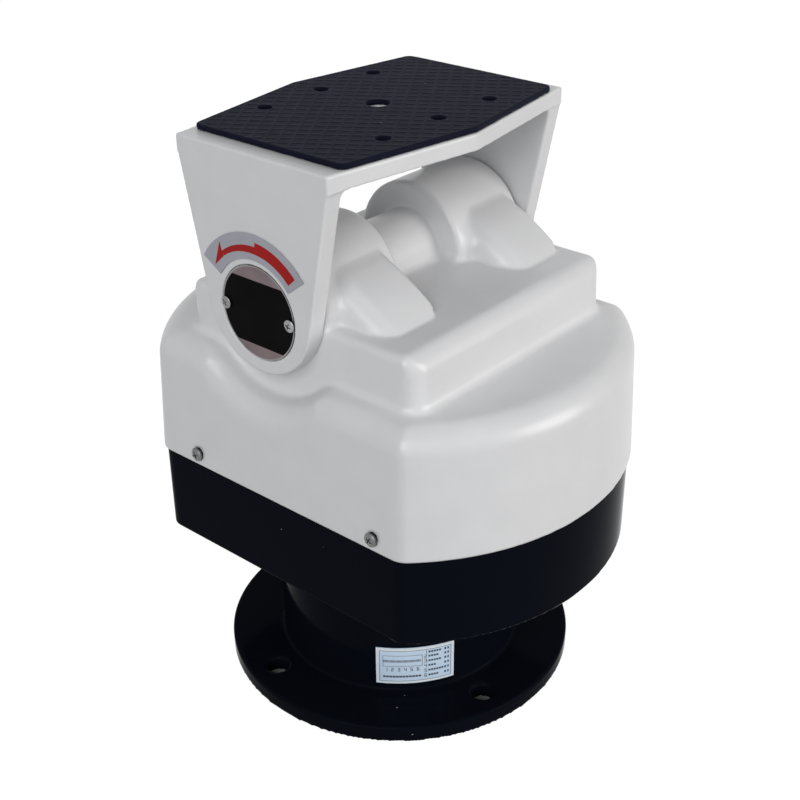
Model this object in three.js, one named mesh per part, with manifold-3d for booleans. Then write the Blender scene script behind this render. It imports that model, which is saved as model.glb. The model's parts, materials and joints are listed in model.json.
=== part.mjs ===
// A motorised pan and tilt head: a round flanged base, a turning body with two
// flattened sides, and a yoke with a padded plate that tilts between two drums.
// Millimetres, +Z up. The origin is the centre of the base's underside, on the pan
// axis. The tilt axis runs along X, and the curved front of the body faces -Y.

import * as THREE from 'three'
import { mergeVertices } from 'three/addons/utils/BufferGeometryUtils.js'
import Module from 'manifold-3d'

const wasm = await Module()
wasm.setup()

// Clearances and cutting
const mm = 1
const gap = 0.3 * mm
const runningGap = 0.5 * mm
const overrun = 2 * mm
const weld = 0.5 * mm

// Base: flange, neck and the deck inside it
const neckRadius = 51.8 * mm
const neckLength = 58.3 * mm
const neckWall = 5 * mm
const neckFootRound = 1.2 * mm
const flangeRim = 23.2 * mm
const flangeThickness = 7 * mm
const flangeEdgeRound = 1.5 * mm
const flangeHoleCircleShare = 0.483
const flangeHoleRadius = 4.5 * mm
const flangeHoleChamfer = 1.2 * mm
const flangeHoleCount = 4
const flangeHolePhase = THREE.MathUtils.degToRad(-16.2)
const flangeRadius = neckRadius + flangeRim
const flangeHoleCircle = neckRadius + flangeRim * flangeHoleCircleShare
const neckTop = flangeThickness + neckLength
const neckInner = neckRadius - neckWall
const baseFloor = 5 * mm
const deckDepth = 11.4 * mm
const deckThickness = 8 * mm
const deckTop = neckTop - deckDepth
const deckUnderside = deckTop - deckThickness
const sealWidth = 2.5 * mm
const sealInset = 1.3 * mm
const sealDepth = 1.8 * mm

// Wiring label on the neck, given as angles about the pan axis
const label = { startDeg: -150.3, endDeg: -113.9, bottom: 10.9 * mm, height: 18.6 * mm, thickness: 0.3 * mm }

// Terminal strip over a window in the floor
const stripLengthShare = 1.111
const strip = {
  length: neckInner * stripLengthShare,
  width: 13 * mm,
  height: 12 * mm,
  y: 22 * mm,
  ways: 6,
  pocketRadius: 2.6 * mm,
  pocketDepth: 5 * mm,
}
const windowMargin = 6 * mm
const windowDepth = 16 * mm

// Fixed hollow spindle and its nuts
const spindleRadius = 10 * mm
const spindleBore = 6 * mm
const spindleTail = 3.7 * mm
const spindleHead = 5.4 * mm
const shoulderRadius = 14 * mm
const spindleFlangeRadius = 19 * mm
const spindleFlangeThickness = 3 * mm
const nutAcrossFlats = 30 * mm
const nutHeight = 7 * mm

// Gears
const gearModule = 2 * mm
const addendumShare = 0.85
const dedendumShare = 1.15
const rootHalfShare = 0.34
const tipHalfShare = 0.13
const panTeeth = 36
const panPinionTeeth = 9
const tiltTeeth = 20
const tiltPinionTeeth = 9
const gearWidth = 6 * mm
const gearBossWall = 3 * mm
const gearBossHeight = 2 * mm
const tiltGearBoss = 4.6 * mm
const pinionExtra = 1 * mm
const pinionShaftRadius = 4 * mm
const shaftEntry = 6 * mm

// Body outline: a circle with two flattened sides
const bodyRadius = 96.5 * mm
const bodyHalfWidth = 73.3 * mm
const bodyCorner = 9 * mm
const neckGap = 1.2 * mm
const housingHeight = 37.6 * mm
const housingInset = 1.2 * mm
const housingFloor = 6 * mm
const housingWall = 5 * mm
const housingEdge = 0.6 * mm
const housingBottom = neckTop + neckGap
const coverBottom = housingBottom + housingHeight
const lipThickness = 2.5 * mm
const lipHeight = 12 * mm

// Pan bearings in the housing's hub
const bearingRadius = 20 * mm
const bearingHeight = 7.6 * mm
const bearingSpacing = 4.6 * mm
const hubWall = 6 * mm
const hubLip = 3 * mm
const hubDrop = 5 * mm

// Tilt shaft and what carries it
const shaftRadius = 8 * mm
const shaftFlat = 6.4 * mm
const shaftTapRadius = 3 * mm
const shaftTapDepth = 11 * mm
const bushRadius = 11.5 * mm
const bushLength = 9 * mm
const bushBossWall = 3 * mm
const tiltSeal = { radius: 13.5 * mm, thickness: 2.4 * mm }

// Cover: ledge, raised block, drums, tube and ramps
const coverWall = 3.5 * mm
const ledgeHeight = 51.9 * mm
const ledgeRound = 9.5 * mm
const coverDraftInset = 1.9 * mm
const blockRise = 21.6 * mm
const blockRound = 10.5 * mm
const blockCorner = 8 * mm
const blockDraft = 1.2 * mm
const blockFrontSetback = 18.1 * mm
const blockBackSetback = 20.6 * mm
const tiltAxisY = 8.2 * mm
const tiltAxisRise = 1.4 * mm
const drumClearance = 0.8 * mm
const drumLength = 41.7 * mm
const drumEdgeRound = 4 * mm
const tubeRadius = 15.5 * mm
const scallopRadius = 35.5 * mm
const ramp = {
  fromDrumEnd: 5.9 * mm,
  frontSetback: 17 * mm,
  frontRise: 0.5 * mm,
  creaseDeg: 51.9,
  bulge: 1.3 * mm,
  corner: 5.6 * mm,
}
const rampArchShares = [
  { along: 0.25, height: 0.75 },
  { along: 0.5, height: 1 },
  { along: 0.75, height: 0.75 },
]
const ledgeTop = coverBottom + ledgeHeight
const blockTop = ledgeTop + blockRise
const tiltAxisZ = blockTop + tiltAxisRise

// Cover screws on the flattened sides, as shares of each flat's half length
const coverScrewFrontShare = -0.848
const coverScrewBackShare = 0.704
const coverScrew = { rise: 5.4 * mm, shankRadius: 1.8 * mm, headRadius: 2.8 * mm, headHeight: 1.7 * mm }

// Tilting yoke: a six-sided plate with two arms
const armSetback = 6 * mm
const armThickness = 7.5 * mm
const armClearance = 0.5 * mm
const armEndRadius = 25.9 * mm
const armEndLift = 2.1 * mm
const armFillet = 4 * mm
const plateClearance = 27.2 * mm
const plateThickness = 6.5 * mm
const plateEndHalfWidth = 36.6 * mm
const plateMidHalfWidth = 47 * mm
const plateHalfLength = bodyHalfWidth - armSetback
const armInner = plateHalfLength - armThickness
const blockHalfWidth = armInner - armClearance
const drumInnerEnd = blockHalfWidth - drumLength

// Discs over the shaft's ends
const discRadius = 18.3 * mm
const discThickness = 0.8 * mm
const discRecess = 1.2 * mm
const counterboreRadius = 10.5 * mm
const counterboreDepth = 2.4 * mm
const shaftScrewHead = 9.6 * mm
const discScrew = {
  inset: 2.1 * mm,
  headRadius: 2.4 * mm,
  headHeight: 1.4 * mm,
  shankRadius: 1 * mm,
  shankLength: 3.6 * mm,
}

// Chassis plate on the housing's bosses
const chassisClearance = 4 * mm
const chassisThickness = 3 * mm
const chassisCorner = 14 * mm
const chassisBackCorner = 7 * mm
const chassisSideSetback = 16.3 * mm
const chassisFrontSetback = 12.15 * mm
const chassisBack = 52 * mm
const chassisBore = 21 * mm
const boss = {
  fromSide: 8 * mm,
  fromFront: 26 * mm,
  fromBack: 12 * mm,
  radius: 6 * mm,
  holeRadius: 2 * mm,
  holeDepth: 12 * mm,
}
const chassisScrew = {
  headRadius: 3.6 * mm,
  headHeight: 2.4 * mm,
  shankRadius: 1.7 * mm,
  shankLength: 11 * mm,
}

// Motors and gearboxes
const panDrive = { gearboxRadius: 19 * mm, gearboxHeight: 11 * mm, motorRadius: 17 * mm, headroom: 4.9 * mm }
const tiltDrive = {
  shaftClearance: 3 * mm,
  gearboxLength: 9 * mm,
  motorStep: 1.5 * mm,
  motorClearance: 2.9 * mm,
}
const bracket = {
  gearClearance: 7 * mm,
  thickness: 3 * mm,
  halfWidth: 22 * mm,
  foot: 20 * mm,
  footThickness: 3 * mm,
}
const capacitor = { radius: 9 * mm, height: 34 * mm, clearance: 1.2 * mm, panX: 30 * mm }

// Limit switches and their cams
const panCam = { radius: 15 * mm, lobe: 2 * mm, width: 4 * mm, lobeHalfDeg: 8 }
const tiltCam = {
  width: 5 * mm,
  radius: 14 * mm,
  lobe: 1.6 * mm,
  fromBush: 11.3 * mm,
  lobeHalfDeg: 14,
  lobeDeg: 70,
}
const limitSwitch = { length: 20 * mm, width: 6.4 * mm, height: 10 * mm, roller: 2.4 * mm, reach: 4.5 * mm }
const post = { fromCam: 6.5 * mm, thickness: 2 * mm, halfWidth: 10 * mm, foot: 12 * mm }

// Rubber pad and the plate's holes
const padThickness = 2 * mm
const padMargin = 7.3 * mm
const padInset = 1.5 * mm
const padShift = -0.9 * mm
const padCorner = 3 * mm
const plateCentreHole = 4.5 * mm
const plateHole = 2.8 * mm
const plateHoleSpacingX = 30.3 * mm
const plateHoleSpacingY = 58 * mm

// Direction sticker above the disc, as angles from the front upwards
const sticker = { inner: 20.9 * mm, outer: 30.8 * mm, startDeg: 37.7, endDeg: 148.2, thickness: 0.3 * mm }

// Numbers of sides
const sides = { flange: 60, neck: 40, drum: 36, drumInside: 24, small: 10, shaft: 20, ring: 28, hole: 10 }
const steps = { bodyArc: 16, bodyCorner: 3, shoulder: 4, blockTop: 5, armEnd: 18, panCam: 48, tiltCam: 40 }
const quarterTurn = Math.PI / 2

// Sizes that follow from the ones above
const panPitchRadius = (gearModule * panTeeth) / 2
const panPinionRadius = (gearModule * panPinionTeeth) / 2
const tiltPitchRadius = (gearModule * tiltTeeth) / 2
const tiltPinionRadius = (gearModule * tiltPinionTeeth) / 2
const panCentreDistance = panPitchRadius + panPinionRadius
const tiltCentreDistance = tiltPitchRadius + tiltPinionRadius
const tiltPinionZ = tiltAxisZ - tiltCentreDistance
const drumRadius = tiltPitchRadius + gearModule * addendumShare + drumClearance + coverWall
const plateTop = tiltAxisZ + drumRadius + plateClearance + plateThickness

const lowerBearingBottom = housingBottom + gap
const lowerBearingTop = lowerBearingBottom + bearingHeight
const upperBearingBottom = lowerBearingTop + bearingSpacing
const upperBearingTop = upperBearingBottom + bearingHeight
const panGearBottom = upperBearingTop + gap + gearBossHeight
const panGearTop = panGearBottom + gearWidth
const panCamBottom = panGearTop + gap + nutHeight + gap
const hubRadius = bearingRadius + gap + hubWall

const lipInset = coverWall + coverDraftInset / 2 + gap
const lipTop = coverBottom + lipHeight
const chassisBottom = panGearTop + chassisClearance
const chassisTop = chassisBottom + chassisThickness
const chassisHalfWidth = bodyHalfWidth - chassisSideSetback
const chassisFrontReach = bodyRadius - lipInset - lipThickness - chassisFrontSetback
const chassisFront = -Math.sqrt(chassisFrontReach ** 2 - (chassisHalfWidth - chassisCorner) ** 2)
const bossX = chassisHalfWidth - boss.fromSide
const bossFront = chassisFront + boss.fromFront
const bossBack = chassisBack - boss.fromBack

const flatHalfLength = Math.sqrt((bodyRadius - bodyCorner) ** 2 - (bodyHalfWidth - bodyCorner) ** 2)
const blockChord = Math.sqrt(bodyRadius ** 2 - blockHalfWidth ** 2)
const blockFront = blockChord - blockFrontSetback
const blockBack = blockChord - blockBackSetback
const discFloor = plateHalfLength - discRecess
const counterboreFloor = discFloor - counterboreDepth
const discScrewOffset = discRadius - discScrew.inset

const bushEnd = blockHalfWidth - tiltSeal.thickness - 2 * gap
const bushStart = bushEnd - bushLength
const tiltGearEnd = bushStart - gap - 2 * tiltGearBoss
const tiltGearStart = tiltGearEnd - gearWidth
const tiltCamX = tiltCam.fromBush - bushStart
const postX = tiltCamX + post.fromCam
const bracketFace = tiltGearStart - bracket.gearClearance - bracket.thickness
const tiltGearboxRadius = tiltCentreDistance - shaftRadius - tiltDrive.shaftClearance
const tiltGearboxEnd = bracketFace - gap
const tiltGearboxStart = tiltGearboxEnd - tiltDrive.gearboxLength
const tiltMotorEnd = tiltGearboxStart - gap
const tiltMotorLength = tiltMotorEnd - postX - tiltDrive.motorClearance
const panGearboxBottom = chassisTop + gap
const panMotorBottom = panGearboxBottom + panDrive.gearboxHeight + gap
const panMotorHeight = ledgeTop - coverWall - panDrive.headroom - panMotorBottom

// Materials, one for each finish
const finish = (color, roughness, metalness) =>
  new THREE.MeshStandardMaterial({ color, roughness, metalness })
const paint = {
  white: () => finish(0xd2d3d2, 0.55, 0),
  black: () => finish(0x0b0c0f, 0.25, 0),
  steel: () => finish(0x9a9ca0, 0.35, 1),
  brass: () => finish(0xb08d4a, 0.4, 1),
  zinc: () => finish(0xb9bbb8, 0.4, 1),
  rubber: () => finish(0x22242b, 0.9, 0),
  plastic: () => finish(0x2b2b2e, 0.6, 0),
  label: () => finish(0xa5b4c3, 0.5, 0),
  sticker: () => finish(0x7f8489, 0.4, 0),
  disc: () => finish(0x5f5355, 0.35, 0.6),
}

// Solids

function toSolid(geometry) {
  const plain = geometry.index ? geometry.toNonIndexed() : geometry.clone()
  plain.deleteAttribute('normal')
  plain.deleteAttribute('uv')
  const merged = mergeVertices(plain, 1e-4)
  return new wasm.Manifold(new wasm.Mesh({
    numProp: 3,
    vertProperties: new Float32Array(merged.attributes.position.array),
    triVerts: new Uint32Array(merged.index.array),
  }))
}

function toGeometry(solid) {
  const mesh = solid.getMesh()
  const geometry = new THREE.BufferGeometry()
  const positions = new Float32Array(mesh.numVert * 3)
  for (let vertex = 0; vertex < mesh.numVert; vertex++) {
    for (let axis = 0; axis < 3; axis++) {
      positions[vertex * 3 + axis] = mesh.vertProperties[vertex * mesh.numProp + axis]
    }
  }
  geometry.setAttribute('position', new THREE.BufferAttribute(positions, 3))
  geometry.setIndex(new THREE.BufferAttribute(new Uint32Array(mesh.triVerts), 1))
  geometry.computeVertexNormals()
  return geometry
}

function joinAll(solids) {
  return solids.reduce((whole, solid) => whole.add(solid))
}

function cutAll(solid, cutters) {
  return cutters.reduce((rest, cutter) => rest.subtract(cutter), solid)
}

// A straight bar along Z from z0 to z1 with the given outline.
function prism(outline, z0, z1) {
  const shape = new THREE.Shape(outline.map(([x, y]) => new THREE.Vector2(x, y)))
  const geometry = new THREE.ExtrudeGeometry(shape, { depth: z1 - z0, bevelEnabled: false })
  geometry.translate(0, 0, z0)
  return toSolid(geometry)
}

function circle(radius, count, centreX = 0, centreY = 0, turn = 0) {
  const points = []
  for (let step = 0; step < count; step++) {
    const angle = turn + (2 * Math.PI * step) / count
    points.push([centreX + radius * Math.cos(angle), centreY + radius * Math.sin(angle)])
  }
  return points
}

function rod(radius, z0, z1, count, centreX = 0, centreY = 0) {
  return prism(circle(radius, count, centreX, centreY), z0, z1)
}

// A body of revolution about Z from [radius, height] pairs that close on themselves
// or start and end on the axis.
function turned(profile, count) {
  const points = profile.map(([radius, height]) => new THREE.Vector2(radius, height))
  const geometry = new THREE.LatheGeometry(points, count)
  geometry.rotateX(Math.PI / 2)
  return toSolid(geometry)
}

function ring(inner, outer, z0, z1, count) {
  return turned([[inner, z0], [outer, z0], [outer, z1], [inner, z1], [inner, z0]], count)
}

function box(x0, x1, y0, y1, z0, z1) {
  return prism([[x0, y0], [x1, y0], [x1, y1], [x0, y1]], z0, z1)
}

// Lays a solid that was made along Z on the X axis, at the tilt axis.
function alongTiltAxis(solid) {
  return solid.rotate([0, 90, 0]).translate([0, tiltAxisY, tiltAxisZ])
}

// A bar along X from x0 to x1 whose outline is drawn as [y, z].
function slabAcross(outlineYZ, x0, x1) {
  return prism(outlineYZ, x0, x1).rotate([90, 0, 90])
}

function arc(centreX, centreY, radius, start, end, count) {
  const points = []
  for (let step = 0; step <= count; step++) {
    const angle = start + ((end - start) * step) / count
    points.push([centreX + radius * Math.cos(angle), centreY + radius * Math.sin(angle)])
  }
  return points
}

// Body outline

// The flattened circle, drawn in by inset all round.
function bodyOutline(inset) {
  const radius = bodyRadius - inset
  const half = bodyHalfWidth - inset
  const corner = Math.max(bodyCorner - inset, bodyCorner / 3)
  const cornerX = half - corner
  const cornerY = Math.sqrt((radius - corner) ** 2 - cornerX ** 2)
  const meet = Math.atan2(cornerY, cornerX)
  const back = [
    ...arc(cornerX, cornerY, corner, 0, meet, steps.bodyCorner),
    ...arc(0, 0, radius, meet, Math.PI - meet, steps.bodyArc).slice(1, -1),
    ...arc(-cornerX, cornerY, corner, Math.PI - meet, Math.PI, steps.bodyCorner),
  ]
  const front = back.map(([x, y]) => [-x, -y])
  return [...back, ...front]
}

// A closed stack of outlines, each with the same number of points.
function lofted(levels) {
  const count = levels[0].outline.length
  const positions = []
  for (const level of levels) {
    for (const [x, y] of level.outline) positions.push(x, y, level.z)
  }
  const bottomCentre = positions.length / 3
  positions.push(0, 0, levels[0].z)
  const topCentre = bottomCentre + 1
  positions.push(0, 0, levels[levels.length - 1].z)
  const faces = []
  for (let level = 0; level + 1 < levels.length; level++) {
    for (let point = 0; point < count; point++) {
      const next = (point + 1) % count
      const a = level * count + point
      const b = level * count + next
      faces.push(a, b, b + count, a, b + count, a + count)
    }
  }
  const last = (levels.length - 1) * count
  for (let point = 0; point < count; point++) {
    const next = (point + 1) % count
    faces.push(bottomCentre, next, point)
    faces.push(topCentre, last + point, last + next)
  }
  const geometry = new THREE.BufferGeometry()
  geometry.setAttribute('position', new THREE.Float32BufferAttribute(positions, 3))
  geometry.setIndex(faces)
  return toSolid(geometry)
}

// Cover

// The cover's ledge body with its drafted wall and rounded shoulder, drawn in by inset.
function ledgeBody(inset, bottom) {
  const round = ledgeRound - inset / 2
  const top = ledgeTop - inset
  const shoulder = top - round
  const levels = [
    { z: bottom, outline: bodyOutline(inset) },
    { z: shoulder, outline: bodyOutline(inset + coverDraftInset) },
  ]
  const count = inset > 0 ? steps.shoulder - 1 : steps.shoulder
  for (let step = 1; step <= count; step++) {
    const angle = (step / count) * quarterTurn
    const drawn = inset + coverDraftInset + round * (1 - Math.cos(angle))
    levels.push({ z: shoulder + round * Math.sin(angle), outline: bodyOutline(drawn) })
  }
  return lofted(levels)
}

// The raised block: rounded along its front and back edges and at its upright corners.
function raisedBlock(inset, bottom) {
  const top = blockTop - inset
  const front = inset - blockFront
  const back = blockBack - inset
  const round = blockRound - inset / 2
  const side = [
    [front - blockDraft, bottom],
    [back + blockDraft, bottom],
    ...arc(back - round, top - round, round, 0, quarterTurn, steps.blockTop),
    ...arc(front + round, top - round, round, quarterTurn, 2 * quarterTurn, steps.blockTop),
  ]
  const half = blockHalfWidth - inset
  const corner = blockCorner - inset / 2
  const frontEdge = front - blockDraft
  const backEdge = back + blockDraft
  const x = half - corner
  const plan = [
    ...arc(x, backEdge - corner, corner, 0, quarterTurn, steps.bodyCorner),
    ...arc(-x, backEdge - corner, corner, quarterTurn, 2 * quarterTurn, steps.bodyCorner),
    ...arc(-x, frontEdge + corner, corner, 2 * quarterTurn, 3 * quarterTurn, steps.bodyCorner),
    ...arc(x, frontEdge + corner, corner, 3 * quarterTurn, 4 * quarterTurn, steps.bodyCorner),
  ]
  const across = slabAcross(side, -half - overrun, half + overrun)
  return across.intersect(prism(plan, bottom, top + overrun))
}

// A drum of the tilt bearing, with a rounded edge where it faces the other drum.
function drum(inset, mirror) {
  const radius = drumRadius - inset
  const inner = drumInnerEnd + inset
  const outer = blockHalfWidth - inset
  const round = drumEdgeRound - inset / 2
  const profile = [
    [0, inner],
    ...arc(radius - round, inner + round, round, -quarterTurn, 0, 3),
    [radius, outer],
    [0, outer],
  ]
  const solid = turned(profile, inset > 0 ? sides.drumInside : sides.drum)
  return alongTiltAxis(mirror < 0 ? solid.mirror([0, 0, 1]) : solid)
}

// A ramp with a slightly arched top, from a crease on a drum down to the block's front.
function frontRamp(inset, mirror) {
  const low = blockTop - drumRadius
  const front = ramp.frontSetback + inset - blockFront
  const foot = blockTop + ramp.frontRise - inset / 2
  const crease = THREE.MathUtils.degToRad(ramp.creaseDeg)
  const creaseY = tiltAxisY - (drumRadius - inset) * Math.sin(crease)
  const creaseZ = tiltAxisZ + (drumRadius - inset) * Math.cos(crease)
  const arch = rampArchShares.map(({ along, height }) => [
    front + (creaseY - front) * along,
    foot + (creaseZ - foot) * along + ramp.bulge * height,
  ])
  const back = [
    [creaseY, creaseZ],
    [tiltAxisY, creaseZ],
  ]
  const side = [[tiltAxisY, low], [front, low], [front, foot], ...arch, ...back]
  const x0 = drumInnerEnd + ramp.fromDrumEnd + inset
  const x1 = blockHalfWidth - ramp.fromDrumEnd - inset
  const corner = ramp.corner - inset / 2
  const plan = [
    [x1, tiltAxisY],
    [x0, tiltAxisY],
    ...arc(x0 + corner, front + corner, corner, 2 * quarterTurn, 3 * quarterTurn, steps.bodyCorner),
    ...arc(x1 - corner, front + corner, corner, 3 * quarterTurn, 4 * quarterTurn, steps.bodyCorner),
  ]
  const solid = slabAcross(side, x0 - overrun, x1 + overrun).intersect(prism(plan, low, creaseZ + overrun))
  return mirror < 0 ? solid.mirror([1, 0, 0]) : solid
}

// The clearance for an arm's end in the ledge beside the raised block.
function scallop(inset, mirror) {
  const solid = rod(scallopRadius + inset, blockHalfWidth - inset, bodyRadius, sides.drum)
  return alongTiltAxis(mirror < 0 ? solid.mirror([0, 0, 1]) : solid)
}

function coverForm(inset, bottom) {
  const blockFoot = ledgeTop - ledgeRound
  const body = cutAll(ledgeBody(inset, bottom), [scallop(inset, 1), scallop(inset, -1)])
  const tubeEnd = drumInnerEnd + overrun + inset
  const tube = alongTiltAxis(rod(tubeRadius - inset, -tubeEnd, tubeEnd, sides.drum))
  return joinAll([
    body,
    raisedBlock(inset, blockFoot),
    drum(inset, 1),
    drum(inset, -1),
    tube,
    frontRamp(inset, 1),
    frontRamp(inset, -1),
  ])
}

function topCover() {
  const shell = coverForm(0, coverBottom).subtract(coverForm(coverWall, coverBottom - overrun))
  const bosses = []
  const bores = []
  for (const side of [1, -1]) {
    const face = blockHalfWidth
    const bossDepth = tiltSeal.thickness + gap + bushLength + gap
    const solid = rod(bushRadius + gap + bushBossWall, face - bossDepth, face - coverWall / 2, sides.ring)
    const bore = rod(bushRadius + gap, face - bossDepth - overrun, face + overrun, sides.ring)
    const sealBore = rod(tiltSeal.radius + gap, face - tiltSeal.thickness - gap, face + overrun, sides.ring)
    bosses.push(alongTiltAxis(side < 0 ? solid.mirror([0, 0, 1]) : solid))
    bores.push(alongTiltAxis(side < 0 ? bore.mirror([0, 0, 1]) : bore))
    bores.push(alongTiltAxis(side < 0 ? sealBore.mirror([0, 0, 1]) : sealBore))
  }
  const rebate = prism(bodyOutline(coverWall / 2), coverBottom - overrun, coverBottom + sealDepth)
  const screwHoles = coverScrewHoles(coverScrew.shankRadius + 2 * gap)
  return cutAll(joinAll([shell, ...bosses]), [...bores, rebate, ...screwHoles])
}

function coverScrewPlaces() {
  const places = []
  for (const side of [-1, 1]) {
    for (const share of [coverScrewFrontShare, coverScrewBackShare]) {
      places.push({ side, y: share * flatHalfLength })
    }
  }
  return places
}

// Round holes through both flattened sides at the cover screws.
function coverScrewHoles(radius) {
  const reach = housingInset + coverWall + lipThickness + gap + overrun * 2
  return coverScrewPlaces().map(({ side, y }) => {
    const hole = rod(radius, bodyHalfWidth - reach, bodyHalfWidth + overrun, sides.small)
    const turnedHole = side < 0 ? hole.mirror([0, 0, 1]) : hole
    return turnedHole.rotate([0, 90, 0]).translate([0, y, coverBottom + coverScrew.rise])
  })
}

// Base pieces

function baseCasting() {
  const round = flangeEdgeRound
  const foot = neckFootRound
  const outside = [
    [0, 0],
    [flangeRadius, 0],
    ...arc(flangeRadius - round, flangeThickness - round, round, 0, quarterTurn, 2),
    ...arc(neckRadius + foot, flangeThickness + foot, foot, -quarterTurn, -2 * quarterTurn, 2),
    [neckRadius, neckTop],
    [0, neckTop],
  ]
  const body = turned(outside, sides.flange)
  const lower = rod(neckInner, baseFloor, deckUnderside, sides.neck)
  const upper = rod(neckInner, deckTop, neckTop + overrun, sides.neck)
  const centre = rod(spindleRadius + gap, baseFloor + overrun, neckTop, sides.ring)
  const side = strip.length / 2 - windowMargin
  const front = strip.y - windowDepth / 2
  const window = box(-side, side, front, front + windowDepth, -overrun, baseFloor + overrun)
  const sealOuter = neckRadius - sealInset
  const sealInner = sealOuter - sealWidth - gap
  const groove = ring(sealInner, sealOuter, neckTop - sealDepth, neckTop + overrun, sides.neck)
  const holes = []
  for (let index = 0; index < flangeHoleCount; index++) {
    const angle = flangeHolePhase + (index * 2 * Math.PI) / flangeHoleCount
    const drilled = turned([
      [0, -overrun],
      [flangeHoleRadius, -overrun],
      [flangeHoleRadius, flangeThickness - flangeHoleChamfer],
      [flangeHoleRadius + flangeHoleChamfer, flangeThickness],
      [flangeHoleRadius + flangeHoleChamfer, flangeThickness + overrun],
      [0, flangeThickness + overrun],
    ], sides.shaft)
    const x = flangeHoleCircle * Math.cos(angle)
    const y = flangeHoleCircle * Math.sin(angle)
    holes.push(drilled.translate([x, y, 0]))
  }
  return cutAll(body, [lower, upper, centre, window, groove, ...holes])
}

function baseSeal() {
  const outer = neckRadius - sealInset - gap / 2
  return ring(outer - sealWidth + gap / 2, outer, neckTop - sealDepth + gap, housingBottom - gap, sides.neck)
}

function wiringLabel() {
  const inner = neckRadius + gap
  const outer = inner + label.thickness
  const start = THREE.MathUtils.degToRad(label.startDeg)
  const end = THREE.MathUtils.degToRad(label.endDeg)
  const outline = [
    ...arc(0, 0, outer, start, end, steps.shoulder * 2),
    ...arc(0, 0, inner, end, start, steps.shoulder * 2),
  ]
  return prism(outline, label.bottom, label.bottom + label.height)
}

function terminalStrip() {
  const bottom = baseFloor + gap
  const top = bottom + strip.height
  const front = strip.y - strip.width / 2
  const back = strip.y + strip.width / 2
  const body = box(-strip.length / 2, strip.length / 2, front, back, bottom, top)
  const pitch = (strip.length - 2 * windowMargin) / strip.ways
  const pockets = []
  for (let way = 0; way < strip.ways; way++) {
    const x = (way - (strip.ways - 1) / 2) * pitch
    const pocketTop = bottom + strip.pocketDepth
    pockets.push(rod(strip.pocketRadius, bottom - overrun, pocketTop, sides.hole, x, strip.y))
  }
  for (let wall = 1; wall < strip.ways; wall++) {
    const x = (wall - strip.ways / 2) * pitch
    const slot = pitch / 8
    const floor = bottom + strip.pocketDepth + overrun
    pockets.push(box(x - slot, x + slot, front - overrun, back + overrun, floor, top + overrun))
  }
  return cutAll(body, pockets)
}

function panSpindle() {
  const bottom = deckUnderside - gap - nutHeight - spindleTail
  const top = panCamBottom + panCam.width + spindleHead
  const flangeBottom = deckTop + gap
  const bearingSeat = lowerBearingBottom - gap
  const profile = [
    [spindleBore, bottom],
    [spindleRadius, bottom],
    [spindleRadius, flangeBottom],
    [spindleFlangeRadius, flangeBottom],
    [spindleFlangeRadius, flangeBottom + spindleFlangeThickness],
    [shoulderRadius, flangeBottom + spindleFlangeThickness],
    [shoulderRadius, bearingSeat],
    [spindleRadius, bearingSeat],
    [spindleRadius, top],
    [spindleBore, top],
    [spindleBore, bottom],
  ]
  return turned(profile, sides.ring)
}

function hexNut(bottom) {
  const corner = nutAcrossFlats / Math.sqrt(3)
  const bore = rod(spindleRadius + gap, bottom - overrun, bottom + nutHeight + overrun, sides.ring)
  return prism(circle(corner, 6), bottom, bottom + nutHeight).subtract(bore)
}

// Toothed outline about the origin: each tooth has two feet and two tips.
function gearOutline(teeth, phase) {
  const pitchRadius = (gearModule * teeth) / 2
  const tip = pitchRadius + gearModule * addendumShare
  const root = pitchRadius - gearModule * dedendumShare
  const pitchAngle = (2 * Math.PI) / teeth
  const points = []
  for (let tooth = 0; tooth < teeth; tooth++) {
    const middle = phase + tooth * pitchAngle
    points.push([root, middle - pitchAngle * rootHalfShare])
    points.push([tip, middle - pitchAngle * tipHalfShare])
    points.push([tip, middle + pitchAngle * tipHalfShare])
    points.push([root, middle + pitchAngle * rootHalfShare])
  }
  return points.map(([radius, angle]) => [radius * Math.cos(angle), radius * Math.sin(angle)])
}

function panGear() {
  const plate = prism(gearOutline(panTeeth, 0), panGearBottom, panGearTop)
  const bossRing = rod(shoulderRadius, upperBearingTop + gap, panGearTop, sides.ring)
  const bore = rod(spindleRadius + gap, upperBearingTop - overrun, panGearTop + overrun, sides.ring)
  return plate.add(bossRing).subtract(bore)
}

// A disc whose rim stands out by lobe within halfAngle of each of the centres.
function camOutline(radius, lobe, centres, halfAngle, count) {
  const outline = []
  for (let step = 0; step < count; step++) {
    const angle = (2 * Math.PI * step) / count
    const near = centres.some((centre) => Math.cos(angle - centre) > Math.cos(halfAngle))
    const reach = near ? radius + lobe : radius
    outline.push([reach * Math.cos(angle), reach * Math.sin(angle)])
  }
  return outline
}

function panLimitCam() {
  const halfAngle = THREE.MathUtils.degToRad(panCam.lobeHalfDeg)
  const outline = camOutline(panCam.radius, panCam.lobe, [-quarterTurn], halfAngle, steps.panCam)
  const top = panCamBottom + panCam.width
  const bore = rod(spindleRadius + gap, panCamBottom - overrun, top + overrun, sides.ring)
  return prism(outline, panCamBottom, top).subtract(bore)
}

// Turning body

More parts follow.
